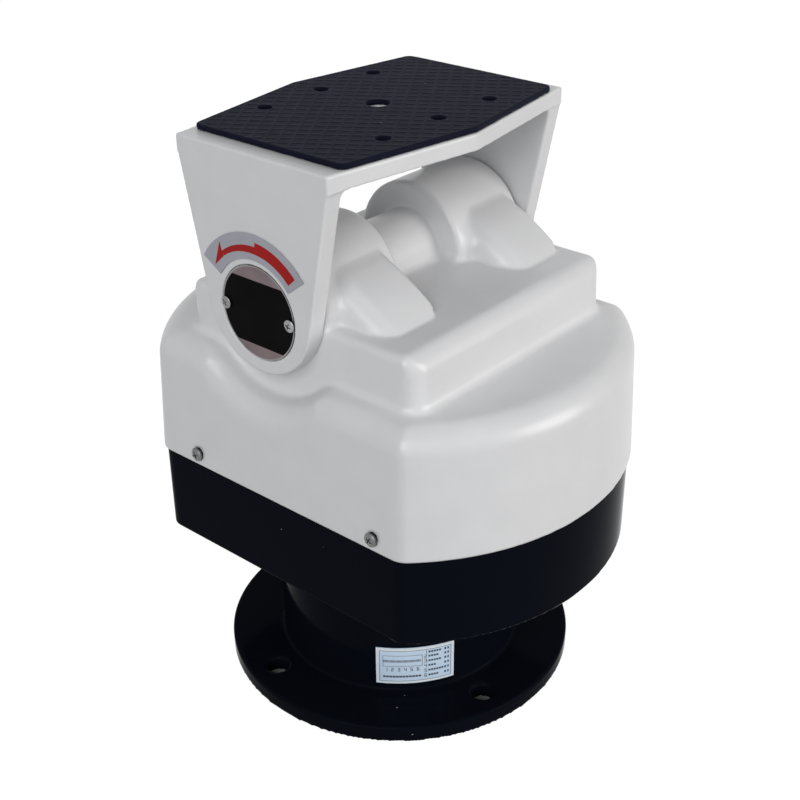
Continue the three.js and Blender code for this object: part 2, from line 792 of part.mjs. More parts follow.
function panHousing() {
  const rimTop = coverBottom - gap
  const outside = lofted([
    { z: housingBottom, outline: bodyOutline(housingInset + housingEdge) },
    { z: housingBottom + housingEdge, outline: bodyOutline(housingInset) },
    { z: rimTop, outline: bodyOutline(housingInset) },
  ])
  const insideOutline = bodyOutline(housingInset + housingWall)
  const inside = prism(insideOutline, housingBottom + housingFloor, rimTop + overrun)
  const lipOuter = bodyOutline(lipInset)
  const lipInner = bodyOutline(lipInset + lipThickness)
  const lipFoot = rimTop - housingWall
  const lip = prism(lipOuter, lipFoot, lipTop).subtract(prism(lipInner, lipFoot - overrun, lipTop + overrun))
  const hub = rod(hubRadius, housingBottom - hubDrop, upperBearingTop - gap, sides.ring)
  const pillarFoot = housingBottom + housingFloor - weld
  const pillars = bossPlaces().map(({ x, y }) => {
    return rod(boss.radius, pillarFoot, chassisBottom - gap, sides.small, x, y)
  })
  const body = joinAll([outside.subtract(inside), lip, hub, ...pillars])
  const under = housingBottom - hubDrop - overrun
  const screwDepth = chassisBottom - boss.holeDepth
  const bores = [
    rod(bearingRadius + gap, under, lowerBearingTop + gap, sides.ring),
    rod(bearingRadius + gap, upperBearingBottom - gap, upperBearingTop + overrun, sides.ring),
    rod(bearingRadius - hubLip, under, upperBearingTop + overrun, sides.ring),
    ...bossPlaces().map(({ x, y }) => {
      return rod(boss.holeRadius, screwDepth, chassisBottom + overrun, sides.hole, x, y)
    }),
    ...coverScrewHoles(coverScrew.shankRadius + gap),
  ]
  return cutAll(body, bores)
}

function bossPlaces() {
  const places = []
  for (const x of [-bossX, bossX]) {
    for (const y of [bossFront, bossBack]) places.push({ x, y })
  }
  return places
}

function bearing(bottom) {
  const inner = spindleRadius + gap
  const top = bottom + bearingHeight
  const shield = bearingHeight / 10
  const innerRace = inner + (bearingRadius - inner) / 4
  const outerRace = bearingRadius - (bearingRadius - inner) / 4
  return turned([
    [inner, bottom],
    [bearingRadius, bottom],
    [bearingRadius, top],
    [outerRace, top],
    [outerRace, top - shield],
    [innerRace, top - shield],
    [innerRace, top],
    [inner, top],
    [inner, bottom],
  ], sides.ring)
}

function housingGasket() {
  const outer = bodyOutline(coverWall / 2 + gap)
  const inner = bodyOutline(lipInset - gap)
  const bottom = coverBottom
  const top = coverBottom + sealDepth - gap
  return prism(outer, bottom, top).subtract(prism(inner, bottom - overrun, top + overrun))
}

// A pan-head screw along -Z: the head's underside is at z 0 and its top has a cross.
function panScrew(headRadius, headHeight, shankRadius, shankLength) {
  const shoulder = headHeight * 0.45
  const profile = [
    [0, -shankLength],
    [shankRadius, -shankLength],
    [shankRadius, 0],
    [headRadius, 0],
    [headRadius, shoulder],
    [headRadius * 0.7, headHeight],
    [0, headHeight],
  ]
  const slot = headRadius * 0.14
  const reach = headRadius * 0.6
  const depth = headHeight * 0.5
  const cross = box(-reach, reach, -slot, slot, headHeight - depth, headHeight + overrun)
  return turned(profile, sides.small).subtract(cross.add(cross.rotate([0, 0, 90])))
}

function coverScrewSolid({ side, y }) {
  const { headRadius, headHeight, shankRadius } = coverScrew
  const solid = panScrew(headRadius, headHeight, shankRadius, coverWall + lipThickness)
  const out = side * (bodyHalfWidth + gap)
  return solid.rotate([0, side * 90, 0]).translate([out, y, coverBottom + coverScrew.rise])
}

function chassisPlate() {
  const side = chassisHalfWidth
  const outline = [
    [chassisCorner - side, chassisFront],
    [side - chassisCorner, chassisFront],
    [side, chassisFront + chassisCorner],
    [side, chassisBack - chassisBackCorner],
    [side - chassisBackCorner, chassisBack],
    [chassisBackCorner - side, chassisBack],
    [-side, chassisBack - chassisBackCorner],
    [-side, chassisFront + chassisCorner],
  ]
  const z0 = chassisBottom - overrun
  const z1 = chassisTop + overrun
  const holes = bossPlaces().map(({ x, y }) => rod(chassisScrew.shankRadius + gap, z0, z1, sides.hole, x, y))
  holes.push(rod(chassisBore, z0, z1, sides.ring))
  holes.push(rod(pinionShaftRadius + runningGap * 2, z0, z1, sides.small, 0, -panCentreDistance))
  return cutAll(prism(outline, chassisBottom, chassisTop), holes)
}

function chassisScrewSolid({ x, y }) {
  const { headRadius, headHeight, shankRadius, shankLength } = chassisScrew
  return panScrew(headRadius, headHeight, shankRadius, shankLength).translate([x, y, chassisTop + gap])
}

// Drives

function panGearbox() {
  const y = -panCentreDistance
  const bottom = panGearboxBottom
  const body = rod(panDrive.gearboxRadius, bottom, bottom + panDrive.gearboxHeight, sides.shaft, 0, y)
  const entry = rod(pinionShaftRadius + gap, bottom - overrun, bottom + shaftEntry + gap, sides.small, 0, y)
  return body.subtract(entry)
}

// A motor can along +Z from z 0, with an end cap and a rear bearing boss.
function motorCan(radius, length) {
  const lip = radius * 0.06
  return turned([
    [0, 0],
    [radius, 0],
    [radius, length * 0.08],
    [radius - lip, length * 0.1],
    [radius - lip, length * 0.88],
    [radius, length * 0.9],
    [radius, length * 0.97],
    [radius * 0.35, length * 0.97],
    [radius * 0.35, length],
    [0, length],
  ], sides.shaft)
}

function panMotor() {
  return motorCan(panDrive.motorRadius, panMotorHeight).translate([0, -panCentreDistance, panMotorBottom])
}

function panPinion() {
  const y = -panCentreDistance
  const bottom = panGearBottom - pinionExtra / 2
  const top = panGearTop + pinionExtra / 2
  // One tooth gap faces the large gear, whose tooth lies on the line of centres.
  const phase = Math.PI / 2 + Math.PI / panPinionTeeth
  const teeth = prism(gearOutline(panPinionTeeth, phase), bottom, top)
  const shaft = rod(pinionShaftRadius, bottom, panGearboxBottom + shaftEntry, sides.small)
  return teeth.add(shaft).translate([0, y, 0])
}

// The tilt drive lies along X under the tilt axis.
function underTiltAxis(solid) {
  return solid.rotate([0, 90, 0]).translate([0, tiltAxisY, tiltPinionZ])
}

function tiltBracket() {
  const top = tiltAxisZ - shaftRadius - tiltDrive.shaftClearance
  const bottom = chassisTop + gap
  const front = tiltAxisY - bracket.halfWidth
  const back = tiltAxisY + bracket.halfWidth
  const face = bracketFace
  const wall = box(face, face + bracket.thickness, front, back, bottom, top)
  const footPlate = box(face, face + bracket.foot, front, back, bottom, bottom + bracket.footThickness)
  const radius = pinionShaftRadius + runningGap * 2
  const hole = underTiltAxis(rod(radius, face - overrun, face + bracket.thickness + overrun, sides.small))
  return wall.add(footPlate).subtract(hole)
}

function tiltGearbox() {
  const body = rod(tiltGearboxRadius, tiltGearboxStart, tiltGearboxEnd, sides.shaft)
  const entryEnd = tiltGearboxEnd - shaftEntry - gap
  const entry = rod(pinionShaftRadius + gap, entryEnd, tiltGearboxEnd + overrun, sides.small)
  return underTiltAxis(body.subtract(entry))
}

function tiltMotor() {
  const can = motorCan(tiltGearboxRadius - tiltDrive.motorStep, tiltMotorLength)
  return underTiltAxis(can.mirror([0, 0, 1]).translate([0, 0, tiltMotorEnd]))
}

function tiltPinion() {
  const start = tiltGearStart - pinionExtra / 2
  const end = tiltGearEnd + pinionExtra / 2
  // The large gear has a tooth pointing straight down, so a gap of the pinion points up.
  const phase = Math.PI + Math.PI / tiltPinionTeeth
  const teeth = prism(gearOutline(tiltPinionTeeth, phase), start, end)
  return underTiltAxis(teeth.add(rod(pinionShaftRadius, tiltGearboxEnd - shaftEntry, end, sides.small)))
}

function capacitorCan(x, y) {
  const { radius, height } = capacitor
  const bottom = chassisTop + gap
  return turned([
    [0, 0],
    [radius, 0],
    [radius, height * 0.9],
    [radius * 0.92, height * 0.93],
    [radius * 0.5, height * 0.93],
    [radius * 0.5, height],
    [0, height],
  ], sides.shaft).translate([x, y, bottom])
}

// A switch with its plunger roller: the roller points along +Y from the body's face at y 0.
function switchSolid() {
  const { length, width, height, roller, reach } = limitSwitch
  const body = box(-length / 2, length / 2, -height, 0, 0, width)
  const lever = box(-length / 3, length / 3, 0, reach - roller, width / 3, (2 * width) / 3)
  const wheel = rod(roller, width / 3, (2 * width) / 3, sides.hole, length / 3 - roller, reach - roller)
  return joinAll([body, lever, wheel])
}

function panLimitSwitch() {
  const bodyFace = panCam.radius + panCam.lobe + runningGap + limitSwitch.reach
  const rollerOffset = limitSwitch.length / 3 - limitSwitch.roller
  return switchSolid().rotate([0, 0, 180]).translate([rollerOffset, bodyFace, chassisTop + gap])
}

const switchTop = tiltAxisZ - tiltCam.radius - tiltCam.lobe - runningGap - limitSwitch.reach

function tiltLimitSwitch() {
  const solid = switchSolid().rotate([90, 0, 0]).rotate([0, 0, 90])
  const x = postX - post.thickness - gap - limitSwitch.width
  const rollerOffset = limitSwitch.length / 3 - limitSwitch.roller
  return solid.translate([x, tiltAxisY - rollerOffset, switchTop])
}

function switchPost() {
  const bottom = chassisTop + gap
  const front = tiltAxisY - post.halfWidth
  const back = tiltAxisY + post.halfWidth
  const wall = box(postX - post.thickness, postX, front, back, bottom, switchTop)
  return wall.add(box(postX - post.foot, postX, front, back, bottom, bottom + post.thickness))
}

function tiltBush(side) {
  const solid = ring(shaftRadius + gap / 2, bushRadius, bushStart, bushEnd, sides.ring)
  return alongTiltAxis(side < 0 ? solid.mirror([0, 0, 1]) : solid)
}

function tiltSealRing(side) {
  const end = blockHalfWidth
  const solid = ring(shaftRadius + gap / 2, tiltSeal.radius, end - tiltSeal.thickness, end, sides.ring)
  return alongTiltAxis(side < 0 ? solid.mirror([0, 0, 1]) : solid)
}

// Tilting yoke

// The plate's six-sided outline, or the same edges cut off at a shorter half length.
function plateOutline(halfLength) {
  const taper = (plateMidHalfWidth - plateEndHalfWidth) / plateHalfLength
  const end = plateMidHalfWidth - taper * halfLength
  const outline = [
    [halfLength, -end], [halfLength, end], [0, plateMidHalfWidth],
    [-halfLength, end], [-halfLength, -end], [0, -plateMidHalfWidth],
  ]
  return outline.map(([x, y]) => [x, y + tiltAxisY])
}

function armOutline() {
  // The arm's edges run from the corners under the plate's end to touch the round end,
  // whose middle lies a little above the tilt axis.
  const middle = tiltAxisZ + armEndLift
  const rise = plateTop - plateThickness - middle
  const corner = Math.atan2(rise, plateEndHalfWidth)
  const away = Math.hypot(rise, plateEndHalfWidth)
  const touch = corner - Math.acos(armEndRadius / away)
  const end = arc(0, 0, armEndRadius, touch, -Math.PI - touch, steps.armEnd)
  const head = rise + weld
  const points = [[plateEndHalfWidth, head], [plateEndHalfWidth, rise], ...end]
  points.push([-plateEndHalfWidth, rise], [-plateEndHalfWidth, head])
  return points.map(([y, z]) => [y + tiltAxisY, z + middle])
}

function tiltYoke() {
  const plate = prism(plateOutline(plateHalfLength), plateTop - plateThickness, plateTop)
  const solids = [plate]
  const cuts = plateHoles(plateTop - plateThickness - overrun, plateTop + overrun)
  for (const side of [1, -1]) {
    const inner = side * armInner
    const outer = side * plateHalfLength
    solids.push(slabAcross(armOutline(), Math.min(inner, outer), Math.max(inner, outer)))
    solids.push(armFilletSolid(side))
    const recess = rod(discRadius + gap, discFloor, plateHalfLength + overrun, sides.ring)
    const counterbore = rod(counterboreRadius, counterboreFloor, plateHalfLength + overrun, sides.shaft)
    const socket = prism(flattedCircle(gap), armInner - overrun, plateHalfLength)
    for (const cut of [recess, counterbore, socket, ...discScrewHoles()]) {
      cuts.push(alongTiltAxis(side < 0 ? cut.mirror([0, 0, 1]) : cut))
    }
  }
  return cutAll(joinAll(solids), cuts)
}

// Fills the inner corner between the plate and an arm with a concave round.
function armFilletSolid(side) {
  const z1 = plateTop - plateThickness
  const halfWidth = plateEndHalfWidth - armFillet / 2
  const corner = [armInner, z1]
  const outline = [
    corner.map((value) => value + weld),
    [armInner - armFillet, z1 + weld],
    ...arc(armInner - armFillet, z1 - armFillet, armFillet, quarterTurn, 0, 5),
    [armInner + weld, z1 - armFillet],
  ]
  const bar = prism(outline.reverse(), -halfWidth, halfWidth)
  const solid = bar.rotate([90, 0, 0]).translate([0, tiltAxisY, 0])
  return side < 0 ? solid.mirror([1, 0, 0]) : solid
}

// The two tapped holes beside an arm's counterbore, along Z from under the disc.
function discScrewHoles() {
  const bottom = discFloor - discScrew.shankLength - gap + discThickness
  const radius = discScrew.shankRadius + gap / 2
  return [-1, 1].map((hand) => rod(radius, bottom, plateHalfLength, sides.hole, 0, hand * discScrewOffset))
}

function plateHoles(z0, z1) {
  const holes = [rod(plateCentreHole, z0, z1, sides.shaft, 0, tiltAxisY)]
  for (const column of [-1, 0, 1]) {
    for (const row of [-0.5, 0.5]) {
      const y = tiltAxisY + row * plateHoleSpacingY
      holes.push(rod(plateHole, z0, z1, sides.small, column * plateHoleSpacingX, y))
    }
  }
  return holes
}

// The rubber pad follows the plate's long edges, a little inside them, and has rounded corners.
function cameraPad() {
  const bottom = plateTop + gap
  const corners = plateOutline(plateHalfLength - padMargin).map(([x, y]) => {
    const inward = y > tiltAxisY ? -padInset : padInset
    return [x, y + inward + padShift]
  })
  const outline = []
  corners.forEach((corner, index) => {
    const before = corners[(index + corners.length - 1) % corners.length]
    const after = corners[(index + 1) % corners.length]
    outline.push(...roundedCorner(before, corner, after, padCorner, 4))
  })
  const top = bottom + padThickness
  return cutAll(prism(outline, bottom, top), plateHoles(bottom - overrun, top + overrun))
}

function roundedCorner(before, corner, after, radius, count) {
  const at = new THREE.Vector2(...corner)
  const toBefore = new THREE.Vector2(...before).sub(at).normalize()
  const toAfter = new THREE.Vector2(...after).sub(at).normalize()
  const half = Math.acos(toBefore.dot(toAfter)) / 2
  const back = radius / Math.tan(half)
  const start = at.clone().addScaledVector(toBefore, back)
  const end = at.clone().addScaledVector(toAfter, back)
  const points = []
  for (let step = 0; step <= count; step++) {
    const t = step / count
    const p = start.clone().multiplyScalar((1 - t) ** 2)
    p.addScaledVector(at, 2 * t * (1 - t)).addScaledVector(end, t ** 2)
    points.push([p.x, p.y])
  }
  return points
}

// The shaft's section: a circle with one flat, which points down once it lies along X.
function flattedCircle(clearance) {
  const radius = shaftRadius + clearance
  const flat = shaftFlat + clearance
  const start = Math.acos(flat / radius)
  return arc(0, 0, radius, start, 2 * Math.PI - start, sides.shaft)
}

function tiltShaft() {
  const end = counterboreFloor - gap
  const bar = prism(flattedCircle(0), -end, end)
  const taps = [1, -1].map((side) => {
    const tap = rod(shaftTapRadius, end - shaftTapDepth, end + overrun, sides.small)
    return side < 0 ? tap.mirror([0, 0, 1]) : tap
  })
  return alongTiltAxis(cutAll(bar, taps))
}

function shaftScrew(side) {
  const under = counterboreFloor + gap
  const height = discFloor - under - gap
  const screw = panScrew(shaftScrewHead, height, shaftTapRadius - gap, shaftTapDepth - gap)
  const solid = screw.translate([0, 0, under])
  return alongTiltAxis(side < 0 ? solid.mirror([0, 0, 1]) : solid)
}

function tiltGear() {
  const plate = prism(gearOutline(tiltTeeth, 0), tiltGearStart, tiltGearEnd)
  const bossEnd = tiltGearEnd + tiltGearBoss
  const bossRing = rod(shaftRadius + gearBossWall, tiltGearEnd - weld, bossEnd, sides.shaft)
  const bore = prism(flattedCircle(gap), tiltGearStart - overrun, bossEnd + overrun)
  return alongTiltAxis(plate.add(bossRing).subtract(bore))
}

// Its two lobes reach the switch roller when the head is tilted to either limit.
function tiltLimitCam() {
  const lobe = THREE.MathUtils.degToRad(tiltCam.lobeDeg)
  const halfAngle = THREE.MathUtils.degToRad(tiltCam.lobeHalfDeg)
  const outline = camOutline(tiltCam.radius, tiltCam.lobe, [-lobe, lobe], halfAngle, steps.tiltCam)
  const start = tiltCamX - tiltCam.width / 2
  const end = tiltCamX + tiltCam.width / 2
  const bore = prism(flattedCircle(gap), start - overrun, end + overrun)
  return alongTiltAxis(prism(outline, start, end).subtract(bore))
}

function sideDisc(side) {
  const inner = discFloor + gap / 2
  const outer = inner + discThickness
  const radius = discScrew.shankRadius + gap / 2
  const holes = [-1, 1].map((hand) => {
    return rod(radius, inner - overrun, outer + overrun, sides.hole, 0, hand * discScrewOffset)
  })
  const solid = cutAll(rod(discRadius, inner, outer, sides.ring), holes)
  return alongTiltAxis(side < 0 ? solid.mirror([0, 0, 1]) : solid)
}

function discScrewSolid(side, hand) {
  const { headRadius, headHeight, shankRadius, shankLength } = discScrew
  const under = discFloor + gap / 2 + discThickness + gap / 2
  const screw = panScrew(headRadius, headHeight, shankRadius, shankLength)
  const solid = screw.translate([0, hand * discScrewOffset, under])
  return alongTiltAxis(side < 0 ? solid.mirror([0, 0, 1]) : solid)
}

function arrowSticker() {
  const start = Math.PI - THREE.MathUtils.degToRad(sticker.endDeg)
  const end = Math.PI - THREE.MathUtils.degToRad(sticker.startDeg)
  const outline = [
    ...arc(0, 0, sticker.outer, start, end, steps.armEnd),
    ...arc(0, 0, sticker.inner, end, start, steps.armEnd),
  ].map(([y, z]) => [y + tiltAxisY, z + tiltAxisZ])
  const face = -plateHalfLength - gap
  return slabAcross(outline, face - sticker.thickness, face)
}

// Assembly

function piece(group, name, solid, material) {
  const mesh = new THREE.Mesh(toGeometry(solid), material)
  mesh.name = name
  group.add(mesh)
}

function fixedBase() {
  const group = new THREE.Group()
  piece(group, 'base_casting', baseCasting(), paint.black())
  piece(group, 'base_seal', baseSeal(), paint.rubber())
  piece(group, 'wiring_label', wiringLabel(), paint.label())
  piece(group, 'terminal_strip', terminalStrip(), paint.plastic())
  piece(group, 'pan_spindle', panSpindle(), paint.steel())
  piece(group, 'spindle_nut_lower', hexNut(deckUnderside - gap - nutHeight), paint.zinc())
  piece(group, 'spindle_nut_upper', hexNut(panGearTop + gap), paint.zinc())
  piece(group, 'pan_gear', panGear(), paint.brass())
  piece(group, 'pan_limit_cam', panLimitCam(), paint.plastic())
  return group
}

function turningBody() {
  const group = new THREE.Group()
  piece(group, 'pan_housing', panHousing(), paint.black())
  piece(group, 'pan_bearing_lower', bearing(lowerBearingBottom), paint.steel())
  piece(group, 'pan_bearing_upper', bearing(upperBearingBottom), paint.steel())
  piece(group, 'housing_gasket', housingGasket(), paint.rubber())
  piece(group, 'top_cover', topCover(), paint.white())
  coverScrewPlaces().forEach((place, index) => {
    piece(group, `cover_screw_${index + 1}`, coverScrewSolid(place), paint.zinc())
  })
  piece(group, 'chassis_plate', chassisPlate(), paint.zinc())
  bossPlaces().forEach((place, index) => {
    piece(group, `chassis_screw_${index + 1}`, chassisScrewSolid(place), paint.zinc())
  })
  piece(group, 'pan_gearbox', panGearbox(), paint.zinc())
  piece(group, 'pan_motor', panMotor(), paint.plastic())
  const panCapacitorY = tiltAxisY - bracket.halfWidth - capacitor.radius - capacitor.clearance
  piece(group, 'pan_capacitor', capacitorCan(capacitor.panX, panCapacitorY), paint.white())
  piece(group, 'pan_limit_switch', panLimitSwitch(), paint.plastic())
  piece(group, 'tilt_bracket', tiltBracket(), paint.zinc())
  piece(group, 'tilt_gearbox', tiltGearbox(), paint.zinc())
  piece(group, 'tilt_motor', tiltMotor(), paint.plastic())
  const tiltCapacitorX = boss.fromSide - bossX
  const tiltCapacitorY = bossBack - boss.fromBack
  piece(group, 'tilt_capacitor', capacitorCan(tiltCapacitorX, tiltCapacitorY), paint.white())
  piece(group, 'switch_post', switchPost(), paint.zinc())
  piece(group, 'tilt_limit_switch', tiltLimitSwitch(), paint.plastic())
  for (const [hand, side] of [['left', -1], ['right', 1]]) {
    piece(group, `tilt_bush_${hand}`, tiltBush(side), paint.brass())
    piece(group, `tilt_seal_${hand}`, tiltSealRing(side), paint.rubber())
  }
  return group
}

function tiltingFrame() {
  const group = new THREE.Group()
  piece(group, 'tilt_yoke', tiltYoke(), paint.white())
  piece(group, 'camera_pad', cameraPad(), paint.rubber())
  piece(group, 'tilt_shaft', tiltShaft(), paint.steel())
  piece(group, 'tilt_gear', tiltGear(), paint.brass())
  piece(group, 'tilt_limit_cam', tiltLimitCam(), paint.plastic())
  for (const [hand, side] of [['left', -1], ['right', 1]]) {
    piece(group, `shaft_screw_${hand}`, shaftScrew(side), paint.zinc())
    piece(group, `side_disc_${hand}`, sideDisc(side), paint.disc())
    piece(group, `disc_screw_${hand}_front`, discScrewSolid(side, -1), paint.zinc())
    piece(group, `disc_screw_${hand}_back`, discScrewSolid(side, 1), paint.zinc())
  }
  piece(group, 'arrow_sticker', arrowSticker(), paint.sticker())
  return group
}

function drivenPinions() {
  const group = new THREE.Group()
  piece(group, 'pan_pinion', panPinion(), paint.steel())
  piece(group, 'tilt_pinion', tiltPinion(), paint.steel())
  return group
}

const head = new THREE.Group()
head.add(fixedBase(), turningBody(), tiltingFrame(), drivenPinions())

export default head
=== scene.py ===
"""Looks for the motorised pan and tilt head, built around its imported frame.

Castings are made from distance fields in millimetres, so that their edges and inside
corners are rounded as cast and painted metal is, and are meshed on graded grids.
"""
import json
import math

import bmesh
import bpy
import numpy as np
from mathutils import Matrix, Vector


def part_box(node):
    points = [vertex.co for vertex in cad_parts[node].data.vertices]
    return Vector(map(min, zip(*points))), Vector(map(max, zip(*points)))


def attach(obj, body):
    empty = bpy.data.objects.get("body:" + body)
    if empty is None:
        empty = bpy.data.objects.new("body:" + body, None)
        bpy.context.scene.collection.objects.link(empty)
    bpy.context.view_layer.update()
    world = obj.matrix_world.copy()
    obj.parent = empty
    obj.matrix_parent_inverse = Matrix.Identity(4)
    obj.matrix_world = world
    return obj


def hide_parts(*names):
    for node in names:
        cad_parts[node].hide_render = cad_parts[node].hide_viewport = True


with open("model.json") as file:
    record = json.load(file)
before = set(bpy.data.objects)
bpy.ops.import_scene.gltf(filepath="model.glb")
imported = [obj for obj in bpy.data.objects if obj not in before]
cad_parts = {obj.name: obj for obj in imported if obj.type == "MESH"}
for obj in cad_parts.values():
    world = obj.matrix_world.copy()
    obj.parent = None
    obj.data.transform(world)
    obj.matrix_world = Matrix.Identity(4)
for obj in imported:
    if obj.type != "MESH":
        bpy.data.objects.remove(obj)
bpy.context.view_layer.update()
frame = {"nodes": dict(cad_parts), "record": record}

MM = 0.001

# The clearance that the frame leaves between two pieces
GAP = 0.3


def corners(node):
    """The lowest and highest corner of a CAD node, in millimetres."""
    low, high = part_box(node)
    return np.array(low) / MM, np.array(high) / MM


# Places and sizes that come from the frame
base_high = corners("base_casting")[1]
housing_low, housing_high = corners("pan_housing")
cover_low, cover_high = corners("top_cover")
yoke_low, yoke_high = corners("tilt_yoke")
pad_low, pad_high = corners("camera_pad")
seal_low, seal_high = corners("tilt_seal_right")
disc_low, disc_high = corners("side_disc_left")
sticker_low = corners("arrow_sticker")[0]
lower_bearing_low, lower_bearing_high = corners("pan_bearing_lower")
upper_bearing_low, upper_bearing_high = corners("pan_bearing_upper")
chassis_bottom = corners("chassis_plate")[0][2]

TILT_Y = (seal_low[1] + seal_high[1]) / 2
TILT_Z = (seal_low[2] + seal_high[2]) / 2
BODY_HALF_WIDTH = cover_high[0]
BODY_RADIUS = cover_high[1]
COVER_BOTTOM = cover_low[2]
DRUM_RADIUS = cover_high[2] - TILT_Z
BLOCK_HALF_WIDTH = seal_high[0]
PLATE_HALF_LENGTH = yoke_high[0]
PLATE_TOP = yoke_high[2]
FLANGE_RADIUS = base_high[0]
NECK_TOP = base_high[2]
DISC_RADIUS = (disc_high[2] - disc_low[2]) / 2
HOUSING_INSET = BODY_HALF_WIDTH - housing_high[0]
HOUSING_BOTTOM = lower_bearing_low[2] - GAP

# The photograph's camera, in millimetres and degrees
CAMERA_TARGET = (5.54, 3.44, 113.8)
CAMERA_DISTANCE = 559.6
CAMERA_AZIMUTH = 49.32
CAMERA_ELEVATION = 29.05
CAMERA_ROLL = -0.53
CAMERA_LENS = 60.08
CAMERA_SENSOR = 36.0

# Body outline
BODY_CORNER = 9.0

# Cover: side wall, ledge and scallop
COVER_WALL = 3.5
COVER_RIM_ROUND = 0.9
DRAFT_INSET = 1.9
LEDGE_TOP = 156.0
LEDGE_ROUND = 9.5
SHOULDER_Z = LEDGE_TOP - LEDGE_ROUND
SCALLOP_RADIUS = 35.5
SCALLOP_ROUND = 4.2
FOOT_FILLET = 3.0

# Cover: raised block, whose edges are rounder at its front and back corners
BLOCK_DROP = 1.4
BLOCK_TOP = TILT_Z - BLOCK_DROP
BLOCK_FRONT = 58.0
BLOCK_BACK = 55.5
BLOCK_ROUND = 7.0
BLOCK_SIDE_ROUND = 3.5
BLOCK_CORNER = 8.0
BLOCK_CORNER_START = -4
BLOCK_CORNER_END = 6
BLOCK_DRAFT = 0.055

# Cover: drums, the tube between them and the ramps in front of them
DRUM_INNER_END = 17.6
DRUM_EDGE = 2.2
DRUM_FILLET = 3.5
DRUM_FILLET_START = -24
DRUM_FILLET_END = -14
TUBE_RADIUS = 15.5
TUBE_FILLET = 0.8
RAMP_MARGIN = 5.9
RAMP_FRONT = -41.0
RAMP_FRONT_RISE = 0.5
RAMP_FRONT_Z = BLOCK_TOP + RAMP_FRONT_RISE
RAMP_CREASE = math.radians(51.9)
RAMP_BULGE = 1.3
RAMP_CORNER = 5.6
RAMP_SOFT_EDGE = 8.5
RAMP_SHARP_EDGE = 1.2
RAMP_FILLET = 5.0
RAMP_FILLET_START = 0.5
RAMP_FILLET_END = 6
CREASE_FILLET = 0.8

# Cover: bores for seals, bushes and screws
SEAL_BORE = 13.8
SEAL_DEPTH = 2.7
BUSH_BORE = 11.8
BUSH_BORE_START = 40
BUSH_BOSS = 14.8
BUSH_BOSS_DEPTH = 12.0
BUSH_BOSS_SETBACK = 1
COVER_SCREW_BORE = 2.3
COVER_BORE_START = 60
SCREW_PLACES = [corners(f"cover_screw_{n}") for n in (1, 2)]

# Housing, with a lip into the cover, a hub for the bearings and four pillars
HOUSING_EDGE = 0.7
HOUSING_RIM_ROUND = 0.5
HOUSING_WALL = 5
HOUSING_FLOOR = 6
LIP_HALF_WIDTH = 1.25
LIP_ROOT = 5
HUB_RADIUS = 26.3
HUB_ROUND = 0.8
HUB_BORE = 17
BEARING_BORE = 20.3
PILLAR_RADIUS = 6
PILLAR_ROOT = 5
PILLAR_BORE = 2.0
PILLAR_BORE_DEPTH = 12

# Yoke
PLATE_THICKNESS = 6.5
PLATE_END_HALF = 36.6
PLATE_MID_HALF = 47.0
ARM_THICKNESS = 7.5
ARM_FILLET = 4.0
ARM_END_LIFT = 2.1
ARM_MIDDLE = TILT_Z + ARM_END_LIFT
ARM_END_RADIUS = ARM_MIDDLE - yoke_low[2]
ARM_BLEND = 1.0
YOKE_EDGE = 0.7
DISC_RECESS_RADIUS = 18.6
DISC_RECESS_DEPTH = 1.2
DISC_RECESS_EDGE = 0.3
COUNTERBORE_RADIUS = 10.5
COUNTERBORE_DEPTH = 3.6
SOCKET_RADIUS = 8.3
SOCKET_START = 40
DISC_SCREW_REACH = 16.2
DISC_SCREW_BORE = 1.3
DISC_BORE_START = 62
CENTRE_HOLE = 4.5
GRID_HOLE = 2.8
GRID_X = 30.3
GRID_Y = 29.0
PLATE_HOLE_EDGE = 0.4

# Rubber pad and its ribs
PAD_CORNER = 3.0
PAD_INSET = 1.5
PAD_SHIFT = -0.9
PAD_EDGE = 0.7
PAD_HOLE_EDGE = 0.3
RIB_PITCH = 4.87
RIB_HALF_WIDTH = 0.42
RIB_SHOULDER = 0.12
RIB_FOOT = 0.3
RIB_TURN = math.radians(34.6)
RIB_DEPTH = 0.14
RIBS_FROM_EDGE = (1.2, 1.8)
RIBS_FROM_HOLE = (0.8, 1.4)

# Base: flange, neck, deck and wiring window
FLANGE_THICKNESS = 7.0
FLANGE_EDGE = 1.3
HOLE_CIRCLE = 63.0
HOLE_RADIUS = 4.5
HOLE_CHAMFER = 1.2
HOLE_EDGE = 0.25
HOLE_OVERRUN = 1
HOLE_COUNT = 4
HOLE_PHASE = math.radians(-16.2)
NECK_RADIUS = 51.8
NECK_FOOT = 1.4
NECK_EDGE = 0.8
NECK_WALL = 5
BASE_FLOOR = 5
DECK_DEPTH = 11.4
DECK_THICKNESS = 8.0
SPINDLE_BORE = 10.3
SPINDLE_BORE_START = 7
WINDOW_HALF_LENGTH = 20
WINDOW_HALF_WIDTH = 8
WINDOW_Y = 22
WINDOW_DEPTH = 7
GROOVE_RADIUS = 49.1
GROOVE_HALF_WIDTH = 1.4
GROOVE_DEPTH = 1.8


# Distance fields

def round_max(a, b, r):
    """What lies inside both, with the edge between them rounded by r."""
    return np.minimum(-r, np.maximum(a, b)) + np.hypot(np.maximum(r + a, 0), np.maximum(r + b, 0))


def round_min(a, b, r):
    """What lies inside either, with the inside corner between them filled by r."""
    return np.maximum(r, np.minimum(a, b)) - np.hypot(np.maximum(r - a, 0), np.maximum(r - b, 0))


def ease(low, high, value):
    share = np.clip((value - low) / (high - low), 0, 1)
    return share * share * (3 - 2 * share)


